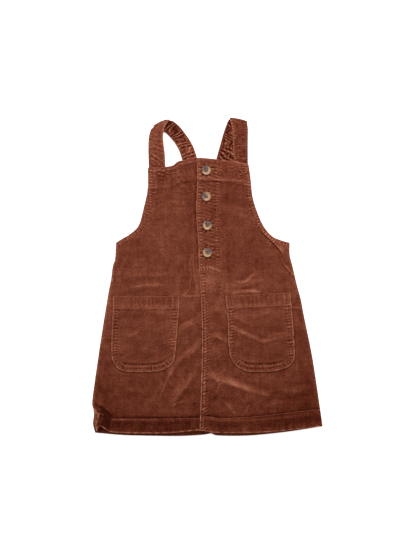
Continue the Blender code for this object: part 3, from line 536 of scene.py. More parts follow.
def seam_relief(seam, x, y):
    """(height, tone) of a stitched edge: a furrow along each row, stripes of lighter or darker pile, partly
    painted highlight and painted shade, and puckers across, painted lighter on top and darker between as
    shading.
    """
    rungs, seed = seam.rungs, seam.seed
    far = rungs.far + rungs.tail
    reach = max([far, *seam.rows, *(abs(stripe.inside) for stripe in seam.stripes)]) + SEAM_MARGIN
    along, aside = seam.line.measure(x, y, reach)
    inside = aside * seam.side
    height, nap = np.zeros_like(inside), np.zeros_like(inside)
    live = faded(along, seam.line.length, seam.fade)
    for row in seam.rows:
        dip = ROW_MEAN + (1.0 - ROW_MEAN) * np.cos(math.tau * along / STITCH_PITCH)
        height -= ROW_DEPTH * dip * bell(inside - row, ROW_WIDTH)
    for number, stripe in enumerate(seam.stripes):
        body = strength(along, STRIPE_WAVE, seed + 10 + number, *STRIPE_STRENGTH)
        drawn = body * stripe.nap * bell(inside - stripe.inside, stripe.width)
        nap += drawn
        height += STRIPE_HEIGHT * drawn
    window = smooth((inside - rungs.near) / RUNG_START + 0.5) * smooth((far - inside) / (rungs.tail + 1.0))
    share = np.clip((inside - rungs.near) / (rungs.far - rungs.near), 0.0, 1.5)
    bow = RUNG_BOW_SPREAD * wobble(along, RUNG_BOW_WAVE, seed + 2) + RUNG_BOW
    phase = (along + rungs.lean * inside) / rungs.period + bow * np.sin(math.pi * share)
    phase = phase + RUNG_DRIFT * wobble(along, RUNG_DRIFT_PERIODS * rungs.period, seed)
    force = strength(along, RUNG_FORCE_PERIODS * rungs.period, seed + 1, *RUNG_STRENGTH)
    ripple = window * force * np.cos(math.tau * phase)
    rumple = window * uneven(x, y, RUNG_RUMPLE_SIZE, seed + 3)
    # Painted shading of the puckers: lighter on their tops, darker between them
    ripple_highlight_and_shade = RUNG_LIGHT * np.maximum(ripple, 0.0) + np.minimum(ripple, 0.0) + RUNG_RUMPLE_NAP * rumple
    height = height + rungs.height * (ripple + RUNG_RUMPLE * rumple)
    return live * height, live * (nap + rungs.height * ripple_highlight_and_shade)


def blurred(field, steps):
    """A field smoothed twice along each axis, over this many steps to either side."""
    for axis, count in enumerate(steps):
        count = max(int(round(count)), 1)
        for _ in range(2):
            pad = [(0, 0), (0, 0)]
            pad[axis] = (count + 1, count)
            total = np.cumsum(np.pad(field, pad, mode="edge"), axis=axis)
            ahead = np.take(total, range(2 * count + 1, total.shape[axis]), axis=axis)
            behind = np.take(total, range(0, total.shape[axis] - 2 * count - 1), axis=axis)
            field = (ahead - behind) / (2 * count + 1)
    return field


def rim_distance(x, y):
    """How far each point of a grid is from the grid's outline, up to a reach."""
    border = [(x[0], y[0]), (x[:, -1], y[:, -1]), (x[-1, ::-1], y[-1, ::-1]), (x[::-1, 0], y[::-1, 0])]
    facing = [(x[:, :1], y[:, :1]), (x[:, -1:], y[:, -1:]), (x[:1], y[:1]), (x[-1:], y[-1:])]
    rough = np.minimum.reduce([np.hypot(x - px, y - py) for px, py in facing])
    near = rough < RIM_REACH
    best = rough[near]
    for bx, by in border:
        keep = np.unique(np.r_[np.arange(0, len(bx), 3), len(bx) - 1])
        edge = Line(np.stack([bx[keep], by[keep]], axis=1), smoothed=False)
        best = np.minimum(best, np.abs(edge.measure(x[near], y[near], RIM_REACH)[1]))
    distance = np.full(x.shape, RIM_REACH)
    distance[near] = best
    return distance


def crests_of(height, x, y):
    """(fine, broad): how far each point stands above what lies close to it, and further round it."""
    step = [np.median(np.hypot(np.diff(x, axis=axis), np.diff(y, axis=axis))) for axis in (0, 1)]
    return [height - blurred(height, [blur / s for s in step]) for blur in (FINE_BLUR, BROAD_BLUR)]


def tone_with_painted_shading(height, nap, x, y):
    """Lighter on a crest, partly as wear and partly as painted highlight, and darker in a furrow as painted
    shade, small ones and broad ones alike, added to the tone and painted shading already given.
    """
    fine, broad = crests_of(height, x, y)
    crests = CREST_LIGHT * np.maximum(fine, 0.0) + FURROW_PAINTED_SHADE * np.minimum(fine, 0.0)
    return np.clip(crests + BROAD_PAINTED_SHADING * broad + nap, -1.0, 1.0)


def patches(name, x, y):
    """(height, tone) of the places where the cloth is rumpled or made darker or lighter, partly tone and
    partly painted shade and painted light; a rumple is painted lighter where it rises.
    """
    height, nap = np.zeros_like(x), np.zeros_like(x)
    for row in PATCHES[name]:
        patch = Patch(*row)
        c, s = math.cos(patch.turn), math.sin(patch.turn)
        u, v = (x - patch.x) * c + (y - patch.y) * s, (y - patch.y) * c - (x - patch.x) * s
        share = np.exp(-((u / patch.across) ** 2 + (v / patch.along) ** 2))
        nap += patch.nap * share
        if patch.rumple:
            seed = int(abs(patch.x * 7 + patch.y))
            rumple = patch.rumple * share * uneven(u, v, PATCH_RUMPLE_SIZE, seed, PATCH_RUMPLE_STRETCH)
            height += rumple
            nap += rumple
    return height, nap


def shares(length, spacing):
    """Shares of a length, close together at both ends, where the edge is rounded."""
    count = max(int((length - 2 * EDGE_STEPS[-1]) / spacing), 2)
    middle = np.linspace(EDGE_STEPS[-1], length - EDGE_STEPS[-1], count + 1)[1:-1]
    return np.concatenate([EDGE_STEPS, middle, (length - EDGE_STEPS)[::-1]]) / length


# Meshes ----------------------------------------

def quads(grid):
    """Faces over a grid of vertex numbers."""
    return np.stack([grid[:-1, :-1], grid[:-1, 1:], grid[1:, 1:], grid[1:, :-1]], axis=-1).reshape(-1, 4)


def finish_piece(made, nodes, finish):
    made.data.materials.append(finish)
    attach(made, "root")
    if nodes:
        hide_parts(*nodes)
    return made


def store(mesh, attribute, numbers):
    """Keeps a number for each point, for the finish to read."""
    stored = mesh.attributes.new(attribute, "FLOAT", "POINT")
    stored.data.foreach_set("value", np.asarray(numbers, np.float32).ravel())


def mesh_piece(name, points, faces, nodes, finish, nap=None, cloth=None):
    """A piece from its points in millimetres, with each one's tone, painted light and painted shade
    included, and place on the flat cloth.
    """
    mesh = bpy.data.meshes.new(name)
    mesh.from_pydata((np.asarray(points) * MM).tolist(), [], faces)
    mesh.update()
    made = bpy.data.objects.new(name, mesh)
    bpy.context.scene.collection.objects.link(made)
    if nap is not None:
        store(mesh, "nap", nap)
    if cloth is not None:
        corners = np.empty(len(mesh.loops), np.int32)
        mesh.loops.foreach_get("vertex_index", corners)
        places = np.asarray(cloth, np.float32)[corners].ravel()
        mesh.uv_layers.new(name="cloth").data.foreach_set("uv", places)
    mesh.polygons.foreach_set("use_smooth", np.ones(len(mesh.polygons), bool))
    mesh.update()
    return finish_piece(made, nodes, finish)


def shell(node, x, y, top, low, tone, cloth, finish):
    """A closed cloth shell: a fine upper side and a plainer underside that share one rounded rim."""
    rows, columns = x.shape
    middle = low + RIM_LEVEL * (top - low)
    upper = middle + (top - middle) * rounded(rim_distance(x, y))
    index = np.arange(rows * columns).reshape(rows, columns)
    upwards = (x[0, -1] - x[0, 0]) * (y[-1, 0] - y[0, 0]) > 0
    faces = quads(index)
    faces = (faces if upwards else faces[:, ::-1]).tolist()

    def coarse(count, step):
        inner = np.arange(UNDER_MARGIN, count - UNDER_MARGIN, step)
        return np.unique(np.r_[0, inner, count - UNDER_MARGIN - 1, count - 1])
    some_rows, some_columns = coarse(rows, UNDER_ROW_STEP), coarse(columns, UNDER_COLUMN_STEP)
    below = {}
    for r in some_rows[1:-1]:
        for c in some_columns[1:-1]:
            below[r, c] = rows * columns + len(below)

    def run(r0, c0, r1, c1):
        """Points from one corner of a lower face up to the next, with the rim's own where it lies on it."""
        if r0 == r1 and r0 in (0, rows - 1):
            return [int(index[r0, c]) for c in range(c0, c1, 1 if c1 > c0 else -1)]
        if c0 == c1 and c0 in (0, columns - 1):
            return [int(index[r, c0]) for r in range(r0, r1, 1 if r1 > r0 else -1)]
        return [below.get((r0, c0), int(index[r0, c0]))]
    for r0, r1 in zip(some_rows, some_rows[1:]):
        for c0, c1 in zip(some_columns, some_columns[1:]):
            loop = run(r0, c0, r1, c0) + run(r1, c0, r1, c1) + run(r1, c1, r0, c1) + run(r0, c1, r0, c0)
            faces.append(loop if upwards else loop[::-1])
    under = np.array([(x[place], y[place], low[place]) for place in below])
    points = np.vstack([np.stack([x, y, upper], axis=-1).reshape(-1, 3), under])
    grain = np.vstack([np.stack([np.ravel(cloth[0]), np.ravel(cloth[1])], axis=1), under[:, :2]])
    nap = np.r_[np.ravel(tone), np.zeros(len(under))]
    return mesh_piece(f"{node}_cloth", points, faces, [node], finish, nap, grain)


def stitch_shape():
    """One stitch, a short thread that dips at both ends, lying along x with length and radius 1."""
    turns = [math.tau * k / STITCH_SIDES for k in range(STITCH_SIDES)]
    points = [(u, r * math.cos(turn), r * math.sin(turn) + dip)
              for u, r, dip in STITCH_RINGS for turn in turns]
    grid = np.arange(len(points)).reshape(len(STITCH_RINGS), STITCH_SIDES)
    faces = quads(np.column_stack([grid, grid[:, 0]]))[:, ::-1].tolist()
    return np.array(points), faces + [grid[0].tolist(), grid[-1, ::-1].tolist()]


STITCH = stitch_shape()


def thread_piece(name, places, finish):
    """Stitches joined in one mesh. A place is its middle x, y, z, direction, length and radius."""
    shape, shape_faces = STITCH
    points, faces = [], []
    for number, (x, y, z, ahead, length, radius) in enumerate(places):
        ahead = np.array(ahead, float) / np.linalg.norm(ahead)
        aside = np.cross((0.0, 0.0, 1.0), ahead)
        aside /= np.linalg.norm(aside)
        above = np.cross(ahead, aside)
        points.append(np.array([x, y, z]) + shape[:, :1] * length * ahead
                      + shape[:, 1:2] * radius * aside + shape[:, 2:3] * radius * above)
        faces.extend([[i + number * len(shape) for i in face] for face in shape_faces])
    return mesh_piece(name, np.vstack(points), faces, [], finish)


def row_places(line, aside, height, inset, keep=lambda x, y: True):
    """Places for a row of stitches beside a line, on a surface given by its height."""
    stations = np.arange(inset + 0.5 * STITCH_PITCH, line.length - inset, STITCH_PITCH)
    x, y, ahead = line.beside(stations, aside)
    half = 0.5 * STITCH_LENGTH * ahead
    before, after = height(x - half[:, 0], y - half[:, 1]), height(x + half[:, 0], y + half[:, 1])
    z = 0.5 * height(x, y) + 0.25 * (before + after) + THREAD_RISE
    slope = (after - before) / STITCH_LENGTH
    return [(x[i], y[i], z[i], (*ahead[i], slope[i]), STITCH_LENGTH, THREAD_RADIUS)
            for i in range(len(x)) if keep(x[i], y[i])]


# Fronts ----------------------------------------

HEM, TOP = Line(FRONT_HEM), Line(BIB_TOP)
CENTRE = Line(CENTRE_SKIRT + CENTRE_BIB[1:])
CENTRE_LOW, CENTRE_HIGH = Line(CENTRE_SKIRT[:4]), Line(CENTRE_SKIRT[3:] + CENTRE_BIB[1:])
STAND_ROW = Line([(16.6, 192), (16.3, 158.8), (15.2, 126), (15.5, 76.8), (16.2, 35.8), (15, 19.4),
                  (7.6, 13.7), (-2.2, 12.9), (-11, 13.2)])
STAND_BAR = Line([(-10.4, -20.6), (2, -20.2), (14.2, -20.3)])
CENTRE_BIB_EDGE = Line([(-13, 12)] + CENTRE_BIB)
PLACKET = Line([(-14, 16)] + CENTRE_BIB)
BIB_BAND_ROW = Line([(-17.5, 158.6), (12, 158), (36, 158.2), (60.5, 157.6)])
NO_RUNGS = Rungs(0, 1, 0, 5, 0, 0)
CORNER_SEAM = Line([(-177.3, -222.5), (-178.8, -230.3), (-181.1, -237.7), (-182.1, -244.1),
                    (-181.8, -251.5)])
CORNER_VALLEY = Line([(-185.5, -206.5), (-177.5, -211.3), (-168.3, -217.7), (-158.5, -228.5)])
HEM_UPRIGHT_LEFT = Line([(-156.9, -233.5), (-156.6, -254)])
HEM_UPRIGHT_RIGHT = Line([(-25.7, -233), (-25.7, -252)])
# Stripes paint the turned edges and rows lighter as highlight and the cloth at steps and in valleys darker
# as shade; puckers are painted light and dark as shading
FRONT_SEAMS = {
    "left": [
        Seam(HEM, 1, (), [Stripe(1, 1.2, 1.2)], Rungs(1, 22, 6, 7, 0.02, 0), 11),
        Seam(Line(HEM_ROW_LEFT), 1, (0,), [Stripe(-0.2, 0.8, 0.5), Stripe(1.9, 1, -0.3)],
             Rungs(-4, 3, 3, 4.2, 0.03, 0), 12),
        Seam(HEM_UPRIGHT_LEFT, 1, (), [Stripe(0, 0.7, 0.45)], NO_RUNGS, 32),
        Seam(HEM_UPRIGHT_RIGHT, 1, (), [Stripe(0, 0.7, 0.4)], NO_RUNGS, 33),
        Seam(TOP, -1, (5.5,), [Stripe(0.8, 0.8, 0.3), Stripe(5.5, 1, 0.7), Stripe(8.2, 1.4, -0.25)],
             Rungs(2, 28, 8, 6.6, 0.025, 0), 13),
        Seam(Line(LEFT_ARMHOLE), -1, (6.8,),
             [Stripe(0.7, 0.8, 0.45), Stripe(3.8, 2.4, 0.2), Stripe(8, 1.1, -0.25)],
             Rungs(1.5, 7.4, 5, 3.9, 0.2, 0.1), 14),
        Seam(Line(LEFT_SIDE_SEAM), -1, (), [Stripe(1.4, 2.4, 0.4)], Rungs(0, 4, 2, 6.5, 0.06, 0), 15),
        # A painted shadow on the left front beside the right front's edge
        Seam(CENTRE_BIB_EDGE, 1, (), [Stripe(1.9, 1.8, -0.34)], NO_RUNGS, 16),
        Seam(CORNER_SEAM, 1, (), [Stripe(0, 0.9, 1.2), Stripe(-3, 1.8, 0.35)], NO_RUNGS, 18),
        Seam(CORNER_VALLEY, 1, (), [Stripe(-0.6, 2.4, -0.5), Stripe(-5, 3.6, -0.22)], NO_RUNGS, 19),
    ],
    "right": [
        Seam(HEM, 1, (), [Stripe(1, 1.2, 1.1), Stripe(5, 3.4, 0.26)], Rungs(1, 22, 6, 6.6, 0.02, 0), 21),
        Seam(Line(HEM_ROW_RIGHT), 1, (0,), [Stripe(-0.2, 0.8, 0.5), Stripe(1.9, 1, -0.3)],
             Rungs(-4, 3, 3, 4.2, 0.03, 0), 22),
        Seam(TOP, -1, (), [Stripe(0.8, 1, 0.5)], Rungs(2, 30, 6, 6.2, 0.025, 0), 23),
        Seam(BIB_BAND_ROW, 1, (0,), [Stripe(0, 0.9, 0.6), Stripe(-2.4, 1.2, -0.12)], NO_RUNGS, 31),
        Seam(Line(RIGHT_ARMHOLE), 1, (6.8,),
             [Stripe(0.7, 0.8, 0.3), Stripe(3.8, 2.4, 0.2), Stripe(8, 1.1, -0.22)],
             Rungs(1.5, 7.4, 6, 4, 0.19, -0.1), 24),
        Seam(Line(RIGHT_SIDE_SEAM), 1, (), [Stripe(1.4, 2.4, 0.26)], Rungs(0, 4, 2, 6.5, 0.06, 0), 25),
        Seam(CENTRE_LOW, -1, (1.8, 7.4),
             [Stripe(0.8, 1.2, 1.05), Stripe(2.8, 0.8, -0.36), Stripe(5.7, 1.3, 0.42),
              Stripe(7.9, 0.8, -0.16)],
             Rungs(2.2, 7.4, 9, 4.9, 0.22, -0.35), 26),
        Seam(CENTRE_HIGH, -1, (1.8,), [Stripe(0.6, 1, 0.8), Stripe(4.2, 2, 0.26)],
             Rungs(2.4, 7, 3, 5, 0.18, 0.1), 27),
        Seam(PLACKET, -1, (), [], Rungs(7, 30, 7, 5.6, 0.085, 0.3), 30, 20),
        Seam(STAND_ROW, 1, (0,), [Stripe(0, 0.9, 0.16)], Rungs(-3, 3, 2, 4.9, 0.16, 0), 28),
        Seam(STAND_BAR, 1, (0,), [Stripe(0, 0.8, 0.3)], Rungs(-3, 2, 2, 4.6, 0.06, 0), 29),
    ],
}

OUTER_EDGES = {"left": (LEFT_SIDE_SEAM, LEFT_ARMHOLE), "right": (RIGHT_SIDE_SEAM, RIGHT_ARMHOLE)}
BACK_EDGES = {"left": (BACK_LEFT_SEAM, BACK_LEFT_ARMHOLE), "right": (RIGHT_SIDE_SEAM, BACK_RIGHT_ARMHOLE)}


def outer_edge(side):
    seam, armhole = OUTER_EDGES[side]
    return seam + armhole[1:]


def centre_at(y):
    return np.interp(y, CENTRE.path[:, 1], CENTRE.path[:, 0])


def pocket_edge_shadow(side, x, y):
    """Painted shadow: darker along the outside of a pocket's edge."""
    away = -pocket_outline(side).measure(x, y, SHADOW_REACH)[1]
    return SHADOW_NAP * bell(away - SHADOW_FROM, SHADOW_WIDTH)


def band_share(distance, depth):
    return 1.0 - smooth((distance - depth) / EDGE_BLEND)


def banded(share):
    """Thickness of a panel where it holds this share of a turned band."""
    return CLOTH + (BAND - CLOTH) * share


def lap_width(y):
    return FELL_WIDTH + (STAND_WIDTH - FELL_WIDTH) * smooth((y - STAND_END) / STAND_TAPER + 1.0)


def lifted(x, y):
    """How far the layers under a front raise it."""
    rises = []
    for x0, x1, y0, y1, blend_x, blend_y, rise in LIFTS:
        inside_x, inside_y = np.minimum(x - x0, x1 - x), np.minimum(y - y0, y1 - y)
        rises.append(rise * smooth(inside_x / blend_x) * smooth(inside_y / blend_y))
    return np.maximum.reduce(rises)


def broad_form(x, y, side):
    """Underside of a front, with its broad folds and the soft waves between them."""
    from_side = np.abs(Line(outer_edge(side)).measure(x, y, LOFT_REACH + 1.0)[1])
    under = banded(band_share(y - across(BACK_HEM, x), HEM_DEPTH)) + GAP
    under = under + LOFT * smooth(from_side / LOFT_REACH) + lifted(x, y)
    under = under + sum(np.maximum(crease_height(fold, x, y), 0.0) for fold in FOLDS)
    return under + smooth(from_side / CALM_EDGE) * (waves(x, y, FRONT_WAVES) + WAVE_LEVEL)


def front_surface(x, y, side):
    """(underside, upper side, tone with its painted light and painted shade) of a front at any points on it.
    """
    from_hem = y - across(FRONT_HEM, x)
    at_top = band_share(across(BIB_TOP, x) - y, BIB_BAND_DEPTH - BAND_EASE)
    thick = banded(np.maximum(band_share(from_hem, HEM_DEPTH - BAND_EASE), at_top))
    under = broad_form(x, y, side)
    sewn = [seam_relief(seam, x, y) for seam in FRONT_SEAMS[side]]
    sewn += [tuck_relief(tuck, x, y) for tuck in TUCKS[side]] + [patches(f"front_{side}", x, y)]
    if side == "right":
        on_skirt = 1.0 - smooth((y - SKIRT_LAP_TOP) / SKIRT_LAP_BLEND)
        past = x - centre_at(y) - STAND_WIDTH + (STAND_WIDTH - FELL_WIDTH) * on_skirt
        blend = LAP_BLEND + LAP_BLEND * on_skirt
        under = under + (thick + LAP_GAP) * (1.0 - smooth((past - LAP_MARGIN) / blend))
        sewn.append(buttonhole_relief(x, y))
    relief = sum(height for height, _ in sewn) + sum(crease_height(crease, x, y) for crease in CREASES)
    relief = relief + waves(x, y, FRONT_FINE_WAVES)
    nap = sum(nap for _, nap in sewn) + pocket_edge_shadow(side, x, y)
    # Painted shade over the hem's band, ending at the turned-up corner
    at_hem = smooth((HEM_DEPTH + HEM_SHADE_MARGIN - from_hem) / HEM_SHADE_BLEND)
    nap = nap + HEM_SHADE * at_hem * smooth((x - CORNER_TURN) / CORNER_BLEND)
    return under, under + thick + np.clip(relief, *FRONT_RELIEF), nap


def buttonhole_relief(x, y):
    """(height, tone) of the worked buttonholes and the cloth that each button pulls in around it, the welts
    painted lighter as highlight, the slits darker as painted shade, the spokes lighter and darker as painted
    shading.
    """
    height, nap = np.zeros_like(x), np.zeros_like(x)
    for bx, by in BUTTONS:
        started = smooth((x - bx - BUTTONHOLE_FROM) / HOLE_END_BLEND)
        live = started * smooth((bx + BUTTONHOLE_TO - x) / HOLE_END_BLEND)
        welt, slit = bell(np.abs(y - by) - WELT_FROM, WELT_WIDTH), bell(y - by, SLIT_WIDTH)
        away, turn = np.hypot(x - bx, y - by), np.arctan2(y - by, x - bx)
        spokes = np.cos(SPOKES * turn + bx) * bell(away - SPOKE_RADIUS, SPOKE_WIDTH)
        height += live * (WELT_HEIGHT * welt - SLIT_DEPTH * slit) + SPOKE_HEIGHT * spokes
        height -= DENT_DEPTH * bell(away, DENT_RADIUS)
        nap += live * (WELT_LIGHT * welt - SLIT_PAINTED_SHADE * slit) + SPOKE_LIGHT * spokes
    return height, nap


def panel_points(lower_outer, upper_outer, lower_inner, upper_inner, hem, top, columns, spacing):
    """x and y of a panel's grid: rows from hem to top, columns from its outer to its inner edge."""
    low_length, high_length = (travelled(curve(points))[-1] for points in (lower_outer, upper_outer))
    low = np.r_[EDGE_STEPS, np.arange(EDGE_STEPS[-1] + spacing, low_length, spacing)] / low_length
    last = high_length - EDGE_STEPS[::-1]
    high = np.r_[np.arange(0.0, last[0] - 0.5 * spacing, spacing), last] / high_length
    outer = np.vstack([at_stations(lower_outer, low), at_stations(upper_outer, high)])
    inner = np.vstack([at_stations(lower_inner, low), at_stations(upper_inner, high)])
    inside = np.clip(columns, 0.0, 1.0)[None, :]
    x = outer[:, :1] + (inner[:, :1] - outer[:, :1]) * inside
    y = outer[:, 1:] + (inner[:, 1:] - outer[:, 1:]) * inside
    up = travelled(outer)
    near_hem, near_top = 1.0 - smooth(up / HEM_CURVE_REACH), smooth((up - up[-1]) / TOP_CURVE_REACH + 1.0)
    for outline, near, row in ((hem, near_hem, 0), (top, near_top, -1)):
        chord_x, chord_y = (start + (end - start) * inside for start, end in zip(outer[row], inner[row]))
        y = y + near[:, None] * (across(outline, chord_x) - chord_y)
    return x, y


def grain_of(x, y):
    """Where each point was on the flat cloth, with the wales running along the second number."""
    return x - GRAIN_TURN * centre_at(y), y


def make_front(side, finish):
    columns = shares(FRONT_WIDTHS[side], FRONT_SPACING)
    if side == "left":
        steps = len(EDGE_STEPS)
        last = np.linspace(columns[-steps], 1.0, 3)[1:]
        columns = np.concatenate([columns[:-steps], last, 1.0 + np.linspace(0.12, 1.0, 9)])
    x, y = panel_points(*OUTER_EDGES[side], CENTRE_SKIRT, CENTRE_BIB, FRONT_HEM, BIB_TOP, columns,
                        FRONT_SPACING)
    x = x + np.clip(columns - 1.0, 0.0, None)[None, :] * lap_width(y[:, -1:])
    tucked = np.where(columns > 1.0, across(BIB_TOP, x[-1]) - STAND_TUCK - y[-1], 0.0)
    y = y + tucked * smooth((y - y[-1:]) / TOP_CURVE_REACH + 1.0)
    under, top, nap = front_surface(x, y, side)
    return shell(f"front_{side}", x, y, top, under, tone_with_painted_shading(top, nap, x, y), grain_of(x, y), finish)


def front_threads(side, finish):
    outer = np.array(outer_edge(side))

    def height(x, y):
        return front_surface(x, y, side)[1]

    def on_front(x, y):
        edge, far = centre_at(y), np.interp(y, outer[:, 1], outer[:, 0])
        if side == "left":
            return far + SIDE_INSET < x < edge - LEFT_INSET
        return edge + RIGHT_INSET < x < far - SIDE_INSET
    places = []
    for seam in FRONT_SEAMS[side]:
        for row in seam.rows:
            places += row_places(seam.line, seam.side * row, height, STITCH_INSET, on_front)
    for bx, by in BUTTONS if side == "right" else ():
        for step in np.arange(bx + BUTTONHOLE_FROM, bx + BUTTONHOLE_TO, WELT_PITCH):
            for edge in (-1, 1):
                welt_y = by + edge * WELT_ASIDE
                z = float(height(np.array([step]), np.array([welt_y]))[0]) + WELT_RISE
                ahead = (WELT_LEAN, 1.0, -WELT_SLOPE * edge)
                places.append((step, welt_y, z, ahead, WELT_LENGTH, WELT_THREAD))
    return thread_piece(f"front_{side}_stitches", places, finish)


# Backs ----------------------------------------

def make_back(side, finish):
    inwards = 1 if side == "left" else -1
    shift = -inwards * GAP / 2
    skirt, bodice = ([(x + shift, y) for x, y in edge] for edge in (CENTRE_BACK_SKIRT, CENTRE_BACK_BODICE))
    x, y = panel_points(*BACK_EDGES[side], skirt, bodice, BACK_HEM, BACK_TOP, shares(*BACK_GRID),
                        BACK_ROW_SPACING)
    seams = [Seam(Line(BACK_HEM), 1, (), [Stripe(0.7, 0.8, 0.2)], Rungs(1, 22, 3, 9, 0.05, 0), 41),
             Seam(Line(skirt), inwards, (), [Stripe(0.6, 0.8, 0.2)], Rungs(0, 5, 2, 6, 0.08, 0), 42)]
    sewn = [seam_relief(seam, x, y) for seam in seams]
    from_hem = y - across(BACK_HEM, x)
    top = banded(band_share(from_hem, HEM_DEPTH - BACK_BAND_EASE))
    top = top + np.clip(sum(height for height, _ in sewn), *BACK_RELIEF)
    # Painted shade on the back's hem band, and a painted shadow in the mouth of the turned-up corner
    nap = sum(nap for _, nap in sewn) - BACK_HEM_SHADE[side] * (1.0 - smooth(from_hem / HEM_DEPTH))
    nap = nap - CORNER_SHADE * bell(np.hypot(x - CORNER_X, y - CORNER_Y), CORNER_SPREAD)
    return shell(f"back_{side}", x, y, top, np.zeros_like(x), tone_with_painted_shading(top, nap, x, y), (x, y), finish)


# Pockets ----------------------------------------

def mouth_share(side, y):
    """0 at a pocket's bottom and 1 at its mouth."""
    bottom, mouth = POCKETS[side][-1][0], POCKETS[side][0][0]
    return smooth((y - bottom) / (mouth - bottom))


def pocket_outline(side):
    left = [(x, y) for y, x, _ in POCKETS[side]]
    right = [(x, y + POCKET_MOUTH_RISE[side] * mouth_share(side, y)) for y, _, x in POCKETS[side]]
    return Line(left + right[::-1])


def pocket_seams(side):
    line, seed = pocket_outline(side), POCKET_SEED[side]
    mouth_y, left, right = POCKETS[side][0]
    mouth = Line([(left, mouth_y), (right, mouth_y + POCKET_MOUTH_RISE[side])])
    # The stripes paint the pocket's rim and rows lighter as highlight and the lines beside them darker as
    # shade
    return [
        Seam(line, 1, (1.8, 10), [Stripe(0.7, 0.9, 0.95)], NO_RUNGS, seed),
        Seam(line, 1, (), [Stripe(9.6, 1.3, -0.18)], Rungs(2, 9.5, 6, 5.05, 0.17, 0.12), seed + 1),
        Seam(line, 1, (), [Stripe(6.2, 1, -0.5), Stripe(9.6, 1.1, 0.5), Stripe(13.2, 1.3, -0.7)],
             NO_RUNGS, seed + 2),
        Seam(line, 1, (), [Stripe(10.2, 1, 0.38), Stripe(7.8, 1.3, -0.2)], NO_RUNGS, seed + 3),
        Seam(mouth, -1, (20.3,),
             [Stripe(0.5, 0.9, 0.25), Stripe(16.5, 3, 0.18), Stripe(20, 1, 0.55), Stripe(22.2, 1.2, -0.08)],
             Rungs(2, 18, 2, 8, 0.05, 0), seed + 4),
    ]


def pocket_surface(x, y, side):
    """(underside, upper side, tone with its painted light and painted shade) of a pocket over its front."""
    under = blurred(front_surface(x, y, side)[1], (POCKET_BLUR, POCKET_BLUR)) + POCKET_GAP
    mouth_y, left, right = POCKETS[side][0]
    depth = mouth_y + POCKET_MOUTH_RISE[side] * (x - left) / (right - left) - y
    at_mouth = band_share(depth, POCKET_HEM_DEPTH - BAND_EASE)
    thick = CLOTH - POCKET_THINNER + POCKET_HEM_EXTRA * (BAND - CLOTH) * at_mouth
    from_middle = np.abs(x - 0.5 * sum(POCKETS[side][2][1:]))
    at_bottom = smooth((POCKET_BOTTOM - y) / POCKET_BOTTOM_BLEND)
    at_bottom = at_bottom * smooth((POCKET_BOTTOM_HALF - from_middle) / POCKET_BOTTOM_FADE)
    calmed = (1.0 - CALM_AT_MOUTH * at_mouth) * (1.0 - CALM_AT_BOTTOM * at_bottom)
    weights = (1.0, calmed, at_bottom, at_mouth, 1.0, 1.0)
    sewn = [seam_relief(seam, x, y) for seam in pocket_seams(side)] + [patches(f"pocket_{side}", x, y)]
    relief = sum(weight * height for weight, (height, _) in zip(weights, sewn))
    nap = sum(weight * nap for weight, (_, nap) in zip(weights, sewn)) + POCKET_BOTTOM_NAP * at_bottom
    relief = relief + sum(crease_height(crease, x, y) for crease in POCKET_CREASES[side])
    relief = relief + waves(x, y, POCKET_WAVES)
    return under, under + thick + np.clip(relief, *POCKET_RELIEF), nap + waves(x, y, POCKET_NAP_WAVES)


def make_pocket(side, finish, thread):
    across_length, down_length = POCKET_GRID
    levels = [(left, y, right) for y, left, right in POCKETS[side][::-1]]
    left, y, right = at_stations(levels, shares(down_length, POCKET_SPACING)).T[:, :, None]
    columns = shares(across_length, POCKET_SPACING)[None, :]
    x = left + (right - left) * columns
    y = y + POCKET_MOUTH_RISE[side] * mouth_share(side, y) * columns
    under, top, nap = pocket_surface(x, y, side)
    turn = POCKET_TURN[side]
    cloth = (x * math.cos(turn) + y * math.sin(turn), y)
    made = shell(f"pocket_{side}", x, y, top, under, tone_with_painted_shading(top, nap, x, y), cloth, finish)

    def height(px, py):
        nearest = [np.argmin((x - a) ** 2 + (y - b) ** 2) for a, b in zip(px, py)]
        return top.ravel()[nearest]
    places = []
    for seam in pocket_seams(side):
        inset = STITCH_INSET * (2 if seam.side == 1 else 1)
        for row in seam.rows:
            places += row_places(seam.line, seam.side * row, height, inset)
    return made, thread_piece(f"pocket_{side}_stitches", places, thread)


# Straps ----------------------------------------

Strip = namedtuple("Strip", "s aside from_edge")


